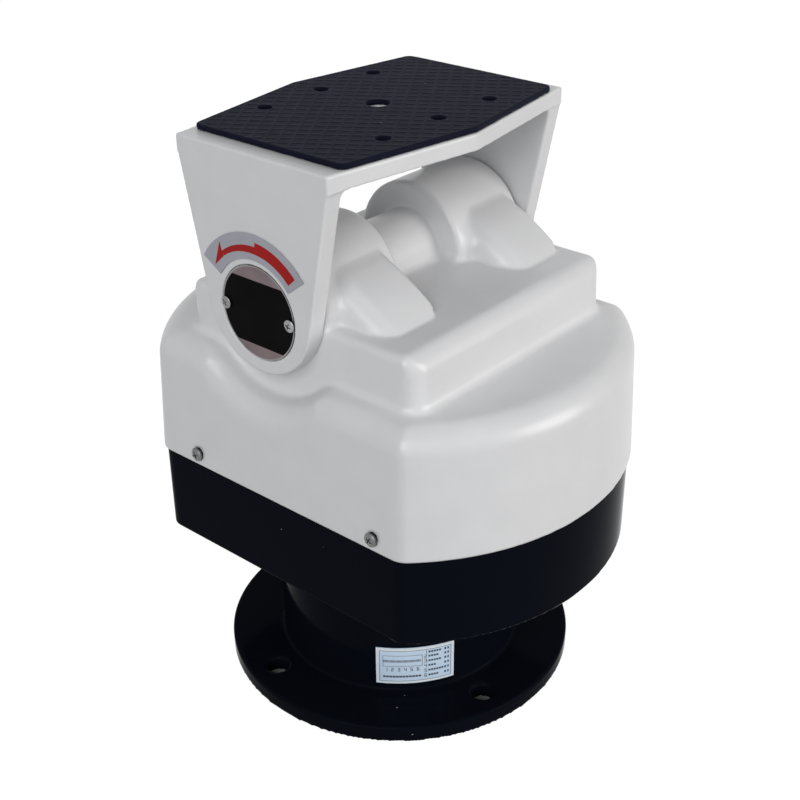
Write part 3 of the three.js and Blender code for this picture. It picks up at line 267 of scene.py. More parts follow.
def body_outline(x, y):
    """Distance to the circle with two flattened sides and rounded corners."""
    radius = BODY_RADIUS - BODY_CORNER
    half = BODY_HALF_WIDTH - BODY_CORNER
    corner_y = math.sqrt(radius ** 2 - half ** 2)
    ax, ay = np.abs(x), np.abs(y)
    away = np.hypot(ax, ay)
    inner = np.maximum(away - radius, ax - half)
    at_corner = (ay > corner_y) & (ay * half < ax * corner_y)
    return np.where(at_corner, np.hypot(ax - half, ay - corner_y), inner) - BODY_CORNER


def from_tilt_axis(y, z):
    return np.hypot(y - TILT_Y, z - TILT_Z)


def cover_form(x, y, z):
    """The cover's outside: ledge, raised block, drums, tube and ramps."""
    ax = np.abs(x)
    draft = DRAFT_INSET * (z - COVER_BOTTOM) / (SHOULDER_Z - COVER_BOTTOM)
    side = body_outline(x, y) + draft
    axis = from_tilt_axis(y, z)
    top = round_max(z - LEDGE_TOP, SCALLOP_RADIUS - axis, SCALLOP_ROUND)
    ledge = round_max(side, top, LEDGE_ROUND)

    lean = BLOCK_DRAFT * (BLOCK_TOP - z)
    middle = (BLOCK_BACK - BLOCK_FRONT) / 2
    reach = (BLOCK_BACK + BLOCK_FRONT) / 2
    ends = np.abs(y - middle) - reach - lean
    length = round_max(ends, z - BLOCK_TOP, BLOCK_ROUND)
    share = ease(BLOCK_CORNER_START, BLOCK_CORNER_END, ends - (z - BLOCK_TOP))
    side_round = BLOCK_SIDE_ROUND + (BLOCK_CORNER - BLOCK_SIDE_ROUND) * share
    block = round_max(length, ax - BLOCK_HALF_WIDTH, side_round)

    drum_middle = (DRUM_INNER_END + BLOCK_HALF_WIDTH) / 2
    end_round = np.where(ax > drum_middle, BLOCK_SIDE_ROUND, DRUM_EDGE)
    drum_ends = np.maximum(DRUM_INNER_END - ax, ax - BLOCK_HALF_WIDTH)
    drum = round_max(axis - DRUM_RADIUS, drum_ends, end_round)
    tube = np.maximum(axis - TUBE_RADIUS, ax - DRUM_INNER_END - DRUM_EDGE)

    crease_y = TILT_Y - DRUM_RADIUS * math.sin(RAMP_CREASE)
    crease_z = TILT_Z + DRUM_RADIUS * math.cos(RAMP_CREASE)
    slope = math.atan2(crease_z - RAMP_FRONT_Z, crease_y - RAMP_FRONT)
    length = math.hypot(crease_z - RAMP_FRONT_Z, crease_y - RAMP_FRONT)
    forward, rise = y - RAMP_FRONT, z - RAMP_FRONT_Z
    along = np.clip((forward * math.cos(slope) + rise * math.sin(slope)) / length, 0, 1)
    face = rise * math.cos(slope) - forward * math.sin(slope) - 4 * RAMP_BULGE * along * (1 - along)
    sides = np.abs(ax - drum_middle) - (BLOCK_HALF_WIDTH - DRUM_INNER_END) / 2 + RAMP_MARGIN
    plan = round_max(sides, -forward, RAMP_CORNER)
    edge_round = np.where(x < np.sign(x) * drum_middle, RAMP_SOFT_EDGE, RAMP_SHARP_EDGE)
    ramp = np.maximum(round_max(sides, face, edge_round), plan)
    ramp = np.maximum(ramp, np.maximum(z - crease_z, y - TILT_Y))

    upper = round_min(drum, tube, TUBE_FILLET)
    share = ease(RAMP_FILLET_START, RAMP_FILLET_END, -face)
    upper = round_min(upper, ramp, CREASE_FILLET + (RAMP_FILLET - CREASE_FILLET) * share)
    share = ease(DRUM_FILLET_START, DRUM_FILLET_END, y)
    fillet = CREASE_FILLET + (DRUM_FILLET - CREASE_FILLET) * share
    raised = round_min(block, upper, fillet)
    return round_min(ledge, raised, FOOT_FILLET)


def top_cover(x, y, z):
    form = cover_form(x, y, z)
    outside = round_max(form, COVER_BOTTOM - z, COVER_RIM_ROUND)
    shell = np.maximum(outside, -(form + COVER_WALL))
    ax = np.abs(x)
    axis = from_tilt_axis(y, z)
    inward = BLOCK_HALF_WIDTH - ax
    boss_ends = np.maximum(inward - BUSH_BOSS_DEPTH, BUSH_BOSS_SETBACK - inward)
    solid = np.minimum(shell, np.maximum(axis - BUSH_BOSS, boss_ends))
    solid = np.maximum(solid, -np.maximum(axis - BUSH_BORE, BUSH_BORE_START - ax))
    solid = np.maximum(solid, -np.maximum(axis - SEAL_BORE, BLOCK_HALF_WIDTH - SEAL_DEPTH - ax))
    for low, high in SCREW_PLACES:
        away = np.hypot(y - (low[1] + high[1]) / 2, z - (low[2] + high[2]) / 2)
        solid = np.maximum(solid, -np.maximum(away - COVER_SCREW_BORE, COVER_BORE_START - ax))
    return solid


def pan_housing(x, y, z):
    rim = COVER_BOTTOM - GAP
    outline = body_outline(x, y)
    side = outline + HOUSING_INSET
    outside = round_max(side, HOUSING_BOTTOM - z, HOUSING_EDGE)
    outside = round_max(outside, z - rim, HOUSING_RIM_ROUND)
    hollow = np.maximum(side + HOUSING_WALL, HOUSING_BOTTOM + HOUSING_FLOOR - z)
    body = np.maximum(outside, -hollow)
    lip_inset = COVER_WALL + DRAFT_INSET / 2 + GAP
    lip_side = np.abs(outline + lip_inset + LIP_HALF_WIDTH) - LIP_HALF_WIDTH
    lip = np.maximum(lip_side, np.maximum(rim - LIP_ROOT - z, z - housing_high[2]))
    away = np.hypot(x, y)
    hub_ends = np.maximum(housing_low[2] - z, z - upper_bearing_high[2] + GAP)
    hub = round_max(away - HUB_RADIUS, hub_ends, HUB_ROUND)
    solid = np.minimum(np.minimum(body, lip), hub)
    for number in (1, 2, 3, 4):
        low, high = corners(f"chassis_screw_{number}")
        post = np.hypot(x - (low[0] + high[0]) / 2, y - (low[1] + high[1]) / 2)
        pillar_ends = np.maximum(HOUSING_BOTTOM + PILLAR_ROOT - z, z - chassis_bottom + GAP)
        solid = np.minimum(solid, np.maximum(post - PILLAR_RADIUS, pillar_ends))
        bore = np.maximum(post - PILLAR_BORE, chassis_bottom - PILLAR_BORE_DEPTH - z)
        solid = np.maximum(solid, -bore)
    lower = np.maximum(away - BEARING_BORE, z - lower_bearing_high[2] - GAP)
    upper = np.maximum(away - BEARING_BORE, upper_bearing_low[2] - GAP - z)
    return np.maximum(solid, -np.minimum(np.minimum(lower, upper), away - HUB_BORE))


def half_plane_hexagon(x, y):
    """The plate's six-sided outline about its middle."""
    taper = (PLATE_MID_HALF - PLATE_END_HALF) / PLATE_HALF_LENGTH
    steep = math.hypot(1, taper)
    return (np.abs(y - TILT_Y) + taper * np.abs(x) - PLATE_MID_HALF) / steep


def arm_outline(y, z):
    """An arm's round lower end and the straight edges that widen up to the plate."""
    rise = PLATE_TOP - PLATE_THICKNESS - ARM_MIDDLE
    corner = math.atan2(rise, PLATE_END_HALF)
    lean = corner - math.acos(ARM_END_RADIUS / math.hypot(rise, PLATE_END_HALF))
    ay, up = np.abs(y - TILT_Y), z - ARM_MIDDLE
    straight = ay * math.cos(lean) + up * math.sin(lean) - ARM_END_RADIUS
    above = up * math.cos(lean) - ay * math.sin(lean)
    outline = np.where(above > 0, straight, np.hypot(ay, up) - ARM_END_RADIUS)
    return np.maximum(outline, ay - PLATE_END_HALF)


def tilt_yoke(x, y, z):
    ax = np.abs(x)
    outer = round_max(ax - PLATE_HALF_LENGTH, z - PLATE_TOP, YOKE_EDGE)
    inner = round_max(ax - PLATE_HALF_LENGTH + ARM_THICKNESS, z - PLATE_TOP + PLATE_THICKNESS, ARM_FILLET)
    bridge = round_max(outer, -inner, YOKE_EDGE)
    plate_side = np.maximum(half_plane_hexagon(x, y), PLATE_TOP - PLATE_THICKNESS - z)
    sides = round_min(plate_side, arm_outline(y, z), ARM_BLEND)
    solid = round_max(bridge, sides, YOKE_EDGE)
    axis = from_tilt_axis(y, z)
    recess = np.maximum(axis - DISC_RECESS_RADIUS, PLATE_HALF_LENGTH - DISC_RECESS_DEPTH - ax)
    counterbore = np.maximum(axis - COUNTERBORE_RADIUS, PLATE_HALF_LENGTH - COUNTERBORE_DEPTH - ax)
    socket = np.maximum(axis - SOCKET_RADIUS, SOCKET_START - ax)
    from_screw = np.hypot(np.abs(y - TILT_Y) - DISC_SCREW_REACH, z - TILT_Z)
    tapped = np.maximum(from_screw - DISC_SCREW_BORE, DISC_BORE_START - ax)
    solid = round_max(solid, -recess, DISC_RECESS_EDGE)
    for cut in (counterbore, socket, tapped):
        solid = np.maximum(solid, -cut)
    return round_max(solid, -plate_holes(x, y), PLATE_HOLE_EDGE)


def plate_holes(x, y):
    ax, dy = np.abs(x), np.abs(y - TILT_Y)
    middle = np.hypot(ax, dy) - CENTRE_HOLE
    grid = np.hypot(np.minimum(ax, np.abs(ax - GRID_X)), dy - GRID_Y) - GRID_HOLE
    return np.minimum(middle, grid)


def rib_coordinates(x, y):
    along = x * math.cos(RIB_TURN) + (y - TILT_Y) * math.sin(RIB_TURN)
    across = (y - TILT_Y) * math.cos(RIB_TURN) - x * math.sin(RIB_TURN)
    return along, across


def from_rib(value):
    return np.abs((value / RIB_PITCH + 0.5) % 1 - 0.5) * RIB_PITCH


def camera_pad(x, y, z):
    hexagon = half_plane_hexagon(x, y - PAD_SHIFT) + PAD_INSET
    side = round_max(hexagon, np.abs(x) - pad_high[0], PAD_CORNER)
    along, across = rib_coordinates(x, y)
    nearest = np.minimum(from_rib(along), from_rib(across))
    sunk = RIB_DEPTH * ease(RIB_HALF_WIDTH - RIB_SHOULDER, RIB_HALF_WIDTH + RIB_FOOT, nearest)
    sunk = sunk * ease(*RIBS_FROM_EDGE, -side)
    sunk = sunk * ease(*RIBS_FROM_HOLE, plate_holes(x, y))
    solid = round_max(side, z - pad_high[2] + sunk, PAD_EDGE)
    solid = np.maximum(solid, pad_low[2] - z)
    return round_max(solid, -plate_holes(x, y), PAD_HOLE_EDGE)


def base_casting(x, y, z):
    away = np.hypot(x, y)
    flange = round_max(away - FLANGE_RADIUS, z - FLANGE_THICKNESS, FLANGE_EDGE)
    neck = round_max(away - NECK_RADIUS, z - NECK_TOP, NECK_EDGE)
    solid = np.maximum(round_min(flange, neck, NECK_FOOT), -z)
    for turn in range(HOLE_COUNT):
        angle = HOLE_PHASE + turn * math.tau / HOLE_COUNT
        hole = np.hypot(x - HOLE_CIRCLE * math.cos(angle), y - HOLE_CIRCLE * math.sin(angle)) - HOLE_RADIUS
        flare = (hole - (z - FLANGE_THICKNESS + HOLE_CHAMFER)) / math.sqrt(2)
        drilled = np.maximum(np.minimum(hole, flare), z - FLANGE_THICKNESS - HOLE_OVERRUN)
        solid = round_max(solid, -drilled, HOLE_EDGE)
    inner = away - NECK_RADIUS + NECK_WALL
    deck_top = NECK_TOP - DECK_DEPTH
    lower = np.maximum(inner, np.maximum(BASE_FLOOR - z, z - deck_top + DECK_THICKNESS))
    upper = np.maximum(inner, deck_top - z)
    centre = np.maximum(away - SPINDLE_BORE, SPINDLE_BORE_START - z)
    window_width = np.abs(y - WINDOW_Y) - WINDOW_HALF_WIDTH
    window = np.maximum(np.abs(x) - WINDOW_HALF_LENGTH, np.maximum(window_width, z - WINDOW_DEPTH))
    groove = np.maximum(np.abs(away - GROOVE_RADIUS) - GROOVE_HALF_WIDTH, NECK_TOP - GROOVE_DEPTH - z)
    for cut in (lower, upper, centre, window, groove):
        solid = np.maximum(solid, -cut)
    return solid


# Meshing: how its points are moved onto the surface
SETTLE_ROUNDS = 4
PROBE_STEP = 0.02
LEAST_SLOPE_SQUARED = 0.3
LEAST_LENGTH = 1e-9


def graded(*runs):
    """Grid lines from runs of (start, end, step), each run starting where the last ended."""
    lines = []
    for start, end, step in runs:
        count = max(1, round((end - start) / step))
        lines.extend(np.linspace(start, end, count, endpoint=False))
    return np.array([*lines, runs[-1][1]])


def mirrored(lines):
    return np.array([*(-lines[::-1]), *lines])


def settle(field, spots, reach):
    """Moves points onto the surface where the field is zero."""
    for _ in range(SETTLE_ROUNDS):
        value = field(*spots.T)
        slope = np.empty_like(spots)
        for axis in range(3):
            offset = np.zeros(3)
            offset[axis] = PROBE_STEP
            slope[:, axis] = (field(*(spots + offset).T) - field(*(spots - offset).T)) / (2 * PROBE_STEP)
        steep = np.maximum((slope ** 2).sum(1), LEAST_SLOPE_SQUARED)
        move = -slope * (value / steep)[:, None]
        length = np.sqrt((move ** 2).sum(1))
        move *= np.minimum(1, reach / np.maximum(length, LEAST_LENGTH))[:, None]
        spots = spots + move
    return spots


def surface_net(field, xs, ys, zs, place=None):
    """Points and faces of the surface where the field is zero, one point to a grid cell."""
    grid = np.stack(np.meshgrid(xs, ys, zs, indexing="ij"), axis=-1)
    points = place(grid) if place else grid
    values = field(points[..., 0], points[..., 1], points[..., 2])
    inside = values < 0
    cells = np.array(values.shape) - 1
    total = np.zeros((cells.prod(), 3))
    count = np.zeros(cells.prod())
    quads = []
    for axis in range(3):
        unit = np.zeros(3, int)
        unit[axis] = 1
        first = np.take(inside, range(cells[axis]), axis)
        second = np.take(inside, range(1, cells[axis] + 1), axis)
        edges = np.argwhere(first != second)
        start, end = tuple(edges.T), tuple((edges + unit).T)
        share = values[start] / (values[start] - values[end])
        spot = points[start] + (points[end] - points[start]) * share[:, None]
        one, two = np.zeros(3, int), np.zeros(3, int)
        one[(axis + 1) % 3] = 1
        two[(axis + 2) % 3] = 1
        around = []
        for shift in (0 * one, -one, -one - two, -two):
            cell = edges + shift
            ids = np.ravel_multi_index(tuple(cell.T), tuple(cells))
            around.append(ids)
            count += np.bincount(ids, minlength=len(count))
            for k in range(3):
                total[:, k] += np.bincount(ids, weights=spot[:, k], minlength=len(count))
        ring = np.stack(around, axis=1)
        flipped = ~inside[start]
        ring[flipped] = ring[flipped][:, ::-1]
        quads.append(ring)
    used = np.nonzero(count)[0]
    spots = total[used] / count[used][:, None]
    number = np.zeros(len(count), int)
    number[used] = np.arange(len(used))
    reach = max(np.diff(lines).max() for lines in (xs, ys, zs))
    return settle(field, spots, reach), number[np.concatenate(quads)]


def make_object(name, points, faces, smooth=True):
    """A Blender object from points in millimetres and faces with equal numbers of corners."""
    mesh = bpy.data.meshes.new(name)
    sides = faces.shape[1]
    mesh.vertices.add(len(points))
    mesh.vertices.foreach_set("co", (points * MM).astype(np.float32).ravel())
    mesh.loops.add(faces.size)
    mesh.loops.foreach_set("vertex_index", faces.astype(np.int32).ravel())
    mesh.polygons.add(len(faces))
    mesh.polygons.foreach_set("loop_start", np.arange(0, faces.size, sides, dtype=np.int32))
    mesh.update(calc_edges=True)
    mesh.validate()
    mesh.polygons.foreach_set("use_smooth", np.full(len(mesh.polygons), smooth))
    piece = bpy.data.objects.new(name, mesh)
    bpy.context.scene.collection.objects.link(piece)
    return piece


def dress(piece, body, slot, material, *nodes):
    piece.data.materials.append(material)
    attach(piece, body)
    if nodes:
        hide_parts(*nodes)
    return piece


# Materials: patches of colour that are broader than the grain, and the bump that the grain makes
PATCH_BREADTH = 12
PATCH_DETAIL = 2
PATCH_LOW, PATCH_HIGH = 0.3, 0.7
GRAIN_DETAIL = 3
GRAIN_BUMP = 0.5

# The grain of gloss enamel and rubber, with the bump's height in metres, and the edge of a speck
GLOSS_GRAIN = 260
GLOSS_BUMP = 0.3
GLOSS_DEPTH = 0.00006
SPECK_FADE = 1.3


def new_material(name):
    material = bpy.data.materials.new(name)
    material.use_nodes = True
    shader = material.node_tree.nodes["Principled BSDF"]
    return material, material.node_tree, shader


def noise(tree, scale, detail):
    """Noise over the object's own coordinates, whose unit is a metre."""
    place = tree.nodes.new("ShaderNodeTexCoord")
    texture = tree.nodes.new("ShaderNodeTexNoise")
    texture.inputs["Scale"].default_value = scale
    texture.inputs["Detail"].default_value = detail
    tree.links.new(place.outputs["Object"], texture.inputs["Vector"])
    return texture


def ramp(tree, source, stops):
    node = tree.nodes.new("ShaderNodeValToRGB")
    elements = node.color_ramp.elements
    while len(elements) < len(stops):
        elements.new(0.5)
    for element, (position, colour) in zip(elements, stops):
        element.position = position
        element.color = (*colour, 1)
    tree.links.new(source, node.inputs["Fac"])
    return node.outputs["Color"]


def spread(tree, source, low, high):
    node = tree.nodes.new("ShaderNodeMapRange")
    node.inputs["To Min"].default_value = low
    node.inputs["To Max"].default_value = high
    tree.links.new(source, node.inputs["Value"])
    return node.outputs["Result"]


def bump(tree, shader, height, strength, distance):
    node = tree.nodes.new("ShaderNodeBump")
    node.inputs["Strength"].default_value = strength
    node.inputs["Distance"].default_value = distance
    tree.links.new(height, node.inputs["Height"])
    tree.links.new(node.outputs["Normal"], shader.inputs["Normal"])


def surface(name, low, high, rough, scale, depth, metallic=0.0, specular=0.5):
    """A material whose colour and roughness wander between two values, with a fine bump."""
    material, tree, shader = new_material(name)
    broad = noise(tree, scale / PATCH_BREADTH, PATCH_DETAIL)
    fine = noise(tree, scale, GRAIN_DETAIL)
    colour = ramp(tree, broad.outputs["Fac"], [(PATCH_LOW, low), (PATCH_HIGH, high)])
    tree.links.new(colour, shader.inputs["Base Color"])
    tree.links.new(spread(tree, fine.outputs["Fac"], rough[0], rough[1]), shader.inputs["Roughness"])
    shader.inputs["Metallic"].default_value = metallic
    shader.inputs["Specular IOR Level"].default_value = specular
    bump(tree, shader, fine.outputs["Fac"], GRAIN_BUMP, depth)
    return material


def speckled(name, ground, speck, rough, scale, amount, specular):
    """Gloss enamel or rubber with a few pale specks of dust."""
    material, tree, shader = new_material(name)
    place = tree.nodes.new("ShaderNodeTexCoord")
    cells = tree.nodes.new("ShaderNodeTexVoronoi")
    cells.inputs["Scale"].default_value = scale
    tree.links.new(place.outputs["Object"], cells.inputs["Vector"])
    stops = [(0.0, speck), (amount, speck), (amount * SPECK_FADE, ground)]
    dust = ramp(tree, cells.outputs["Distance"], stops)
    tree.links.new(dust, shader.inputs["Base Color"])
    fine = noise(tree, GLOSS_GRAIN, GRAIN_DETAIL)
    tree.links.new(spread(tree, fine.outputs["Fac"], rough[0], rough[1]), shader.inputs["Roughness"])
    shader.inputs["Specular IOR Level"].default_value = specular
    bump(tree, shader, fine.outputs["Fac"], GLOSS_BUMP, GLOSS_DEPTH)
    return material


white_paint = surface(
    "white_powder_coat", (0.72, 0.72, 0.725), (0.745, 0.745, 0.75), (0.25, 0.37), scale=900, depth=0.00006,
)
# Black enamel: its blue cast is a painted reflection of the sky, and its pale specks are dust
black_paint = speckled(
    "black_enamel_with_painted_sky_tint", (0.0038, 0.0049, 0.0089), (0.35, 0.35, 0.36), (0.06, 0.14),
    scale=90, amount=0.024, specular=0.006,
)
pad_rubber = speckled(
    "ribbed_rubber", (0.0062, 0.0074, 0.0172), (0.3, 0.3, 0.32), (0.5, 0.65),
    scale=60, amount=0.014, specular=0.035,
)
seal_rubber = surface(
    "seal_rubber", (0.012, 0.012, 0.013), (0.022, 0.022, 0.024), (0.6, 0.8), scale=700, depth=0.00005,
)
black_plastic = surface(
    "black_plastic", (0.014, 0.014, 0.015), (0.024, 0.024, 0.026), (0.4, 0.55), scale=900, depth=0.00004,
)
steel = surface(
    "turned_steel", (0.42, 0.42, 0.43), (0.56, 0.56, 0.57), (0.22, 0.38),
    scale=800, depth=0.00002, metallic=1,
)
bearing_steel = surface(
    "bearing_steel", (0.5, 0.5, 0.51), (0.6, 0.6, 0.61), (0.12, 0.22), scale=800, depth=0.00001, metallic=1,
)
zinc_plate = surface(
    "zinc_plate", (0.5, 0.51, 0.48), (0.66, 0.66, 0.62), (0.3, 0.45), scale=500, depth=0.00002, metallic=1,
)
nickel = surface(
    "nickel", (0.2, 0.2, 0.205), (0.34, 0.34, 0.34), (0.16, 0.28), scale=900, depth=0.00001, metallic=1,
)
dull_steel = surface(
    "dull_steel", (0.13, 0.13, 0.13), (0.2, 0.2, 0.2), (0.26, 0.4), scale=900, depth=0.00001, metallic=1,
)
brass = surface(
    "cut_brass", (0.55, 0.38, 0.14), (0.68, 0.5, 0.22), (0.25, 0.4), scale=600, depth=0.00002, metallic=1,
)
motor_grey = surface(
    "motor_can", (0.05, 0.055, 0.06), (0.08, 0.085, 0.09), (0.4, 0.55), scale=500, depth=0.00004,
)
can_metal = surface(
    "capacitor_can", (0.6, 0.61, 0.62), (0.7, 0.71, 0.72), (0.3, 0.42), scale=600, depth=0.00002, metallic=1,
)
die_cast = surface(
    "die_cast_zinc", (0.36, 0.37, 0.38), (0.48, 0.49, 0.5), (0.42, 0.6),
    scale=450, depth=0.00006, metallic=1,
)
label_film = surface(
    "label_film", (0.65, 0.81, 1.0), (0.69, 0.85, 1.0), (0.3, 0.4), scale=500, depth=0.00002,
)
label_edge = surface(
    "label_edge", (0.84, 0.92, 0.98), (0.88, 0.95, 0.99), (0.3, 0.4), scale=500, depth=0.00002,
)
label_ink = surface(
    "label_ink", (0.05, 0.075, 0.12), (0.065, 0.09, 0.14), (0.35, 0.45),
    scale=500, depth=0.00001, specular=0.1,
)
sticker_grey = surface(
    "sticker_grey", (0.39, 0.395, 0.435), (0.43, 0.43, 0.475), (0.25, 0.35),
    scale=700, depth=0.00001, specular=0.2,
)
sticker_red = surface(
    "sticker_red", (0.36, 0.0115, 0.0105), (0.42, 0.015, 0.013), (0.3, 0.42),
    scale=700, depth=0.00001, specular=0.08,
)
disc_metal = surface(
    "disc_metal", (0.13, 0.095, 0.1), (0.18, 0.135, 0.14), (0.28, 0.4),
    scale=900, depth=0.00001, metallic=0.6,
)
disc_rim = surface(
    "disc_rim", (0.2, 0.19, 0.19), (0.28, 0.27, 0.27), (0.3, 0.42), scale=900, depth=0.00001, metallic=1,
)
disc_field = surface(
    "disc_field", (0.0035, 0.003, 0.0035), (0.006, 0.005, 0.0055), (0.2, 0.3),
    scale=700, depth=0.00001, specular=0.012,
)

SLOT_MATERIALS = {
    "white_paint": white_paint,
    "black_paint": black_paint,
    "spindle_steel": steel,
    "bearing_steel": bearing_steel,
    "plated_steel": zinc_plate,
    "bright_screw": nickel,
    "gear_brass": brass,
    "gasket_rubber": seal_rubber,
    "pad_rubber": pad_rubber,
    "black_plastic": black_plastic,
    "motor_can": motor_grey,
    "capacitor_can": can_metal,
    "gearbox_zinc": die_cast,
    "label_film": label_film,
    "sticker_film": sticker_grey,
    "disc_metal": disc_metal,
}
for row in frame["record"]["subparts"]:
    node = frame["nodes"][row["node"]]
    for place in node.material_slots:
        place.material = SLOT_MATERIALS[row["material_slot"]]


# Castings

def cast(name, body, slot, material, field, xs, ys, zs, place=None):
    points, faces = surface_net(field, xs, ys, zs, place)
    return dress(make_object(name, points, faces), body, slot, material, name)


# Where the grids of the castings start and end, and their steps
BODY_MARGIN = 1.7
COVER_STEP = 1.25
COVER_RIM_BELOW = 0.85
COVER_RIM_ABOVE = 3
COVER_RIM_STEP = 0.5
COVER_WALL_TOP = 138.0
COVER_WALL_STEP = 1.9
COVER_END_Y = 72.0
COVER_END_STEP = 1.8
HOUSING_STEP = 1.25
HOUSING_HUB_STEP = 0.9
HOUSING_EDGE_BELOW = 1
HOUSING_EDGE_ABOVE = 3
HOUSING_EDGE_STEP = 0.5
HOUSING_WALL_STEP = 1.3
HOUSING_RIM_LOW = 102
HOUSING_RIM_HIGH = 105
HOUSING_RIM_STEP = 0.4
HOUSING_LIP_STEP = 1.2
YOKE_MARGIN = 0.9
YOKE_REACH = 48.5
YOKE_STEP = 1.0
YOKE_BRIDGE_STEP = 1.3
YOKE_EDGE_STEP = 0.45
YOKE_END_MARGIN = 1
YOKE_END_STEP = 0.8
YOKE_ARM_START = 55
YOKE_PLATE_START = 228
YOKE_DISC_REACH = 20
YOKE_DISC_STEP = 0.55
BASE_MARGIN = 1.4
BASE_STEP = 1.0
BASE_START = -0.9
FLANGE_TOP_LOW = 4
FLANGE_TOP_HIGH = 10
FLANGE_TOP_STEP = 0.45
NECK_STEP = 2.0
NECK_RIM_BELOW = 4.4
NECK_RIM_ABOVE = 1
NECK_RIM_STEP = 0.6
PAD_FOOT = 0.6
PAD_FOOT_STEP = 0.4
PAD_MARGIN = 0.3
PAD_STEP = 0.3
RIB_REACH = 17
RIB_SHARES = (-0.2, -0.13, -0.08, -0.02, 0.02, 0.08, 0.13, 0.2, 0.4, 0.6)

cast(
    "top_cover", "pan_head", "white_paint", white_paint, top_cover,
    graded((-BODY_HALF_WIDTH - BODY_MARGIN, BODY_HALF_WIDTH + BODY_MARGIN, COVER_STEP)),
    graded((-BODY_RADIUS - BODY_MARGIN, -COVER_END_Y, COVER_END_STEP),
           (-COVER_END_Y, COVER_END_Y, COVER_STEP),
           (COVER_END_Y, BODY_RADIUS + BODY_MARGIN, COVER_END_STEP)),
    graded((COVER_BOTTOM - COVER_RIM_BELOW, COVER_BOTTOM + COVER_RIM_ABOVE, COVER_RIM_STEP),
           (COVER_BOTTOM + COVER_RIM_ABOVE, COVER_WALL_TOP, COVER_WALL_STEP),
           (COVER_WALL_TOP, cover_high[2] + BODY_MARGIN, COVER_STEP)),
)
cast(
    "pan_housing", "pan_head", "black_paint", black_paint, pan_housing,
    graded((-BODY_HALF_WIDTH - BODY_MARGIN, BODY_HALF_WIDTH + BODY_MARGIN, HOUSING_STEP)),
    graded((-BODY_RADIUS - BODY_MARGIN, BODY_RADIUS + BODY_MARGIN, HOUSING_STEP)),
    graded((housing_low[2] - BASE_MARGIN, HOUSING_BOTTOM - HOUSING_EDGE_BELOW, HOUSING_HUB_STEP),
           (HOUSING_BOTTOM - HOUSING_EDGE_BELOW, HOUSING_BOTTOM + HOUSING_EDGE_ABOVE, HOUSING_EDGE_STEP),
           (HOUSING_BOTTOM + HOUSING_EDGE_ABOVE, HOUSING_RIM_LOW, HOUSING_WALL_STEP),
           (HOUSING_RIM_LOW, HOUSING_RIM_HIGH, HOUSING_RIM_STEP),
           (HOUSING_RIM_HIGH, housing_high[2] + BASE_MARGIN, HOUSING_LIP_STEP)),
)
fine_x = graded((0, YOKE_ARM_START, YOKE_BRIDGE_STEP),
                (YOKE_ARM_START, PLATE_HALF_LENGTH + YOKE_MARGIN, YOKE_EDGE_STEP))
cast(
    "tilt_yoke", "tilt_frame", "white_paint", white_paint, tilt_yoke,
    np.unique(np.round(mirrored(fine_x), 6)),
    TILT_Y + graded((-YOKE_REACH, -YOKE_DISC_REACH, YOKE_STEP),
                    (-YOKE_DISC_REACH, YOKE_DISC_REACH, YOKE_DISC_STEP),
                    (YOKE_DISC_REACH, YOKE_REACH, YOKE_STEP)),
    graded((yoke_low[2] - YOKE_END_MARGIN, TILT_Z - YOKE_DISC_REACH, YOKE_END_STEP),
           (TILT_Z - YOKE_DISC_REACH, TILT_Z + YOKE_DISC_REACH, YOKE_DISC_STEP),
           (TILT_Z + YOKE_DISC_REACH, YOKE_PLATE_START, YOKE_STEP),
           (YOKE_PLATE_START, PLATE_TOP + YOKE_MARGIN, YOKE_EDGE_STEP)),
)
ribs = range(-RIB_REACH, RIB_REACH + 1)
rib_lines = np.array(sorted(RIB_PITCH * (rib + share) for rib in ribs for share in RIB_SHARES))


def turn_with_ribs(grid):
    x = grid[..., 0] * math.cos(RIB_TURN) - grid[..., 1] * math.sin(RIB_TURN)
    y = grid[..., 0] * math.sin(RIB_TURN) + grid[..., 1] * math.cos(RIB_TURN) + TILT_Y
    return np.stack([x, y, grid[..., 2]], axis=-1)


cast(
    "camera_pad", "tilt_frame", "pad_rubber", pad_rubber, camera_pad, rib_lines, rib_lines,
    graded((pad_low[2] - PAD_FOOT, pad_low[2] + PAD_FOOT, PAD_FOOT_STEP),
           (pad_low[2] + PAD_FOOT, pad_high[2] + PAD_MARGIN, PAD_STEP)),
    turn_with_ribs,
)
cast(
    "base_casting", "base", "black_paint", black_paint, base_casting,
    graded((-FLANGE_RADIUS - BASE_MARGIN, FLANGE_RADIUS + BASE_MARGIN, BASE_STEP)),
    graded((-FLANGE_RADIUS - BASE_MARGIN, FLANGE_RADIUS + BASE_MARGIN, BASE_STEP)),
    graded((BASE_START, FLANGE_TOP_LOW, BASE_STEP),
           (FLANGE_TOP_LOW, FLANGE_TOP_HIGH, FLANGE_TOP_STEP),
           (FLANGE_TOP_HIGH, NECK_TOP - NECK_RIM_BELOW, NECK_STEP),
           (NECK_TOP - NECK_RIM_BELOW, NECK_TOP + NECK_RIM_ABOVE, NECK_RIM_STEP)),
)


# Screws with a dome and a cross recess, as shares of the head's radius and height
CROWN_SHARE = 0.55
CROSS_LENGTH = 0.55
CROSS_WIDTH = 0.13
CROSS_FLARE = 0.12
CROSS_FLOOR = 0.35
STEM_OVERLAP = 0.2

# In millimetres
HEAD_EDGE = 0.12
SCREW_MARGIN = 0.3
SCREW_STEP = 0.13
STEM_START = -0.4
STEM_MARGIN = 0.5
STEM_STEP = 0.6


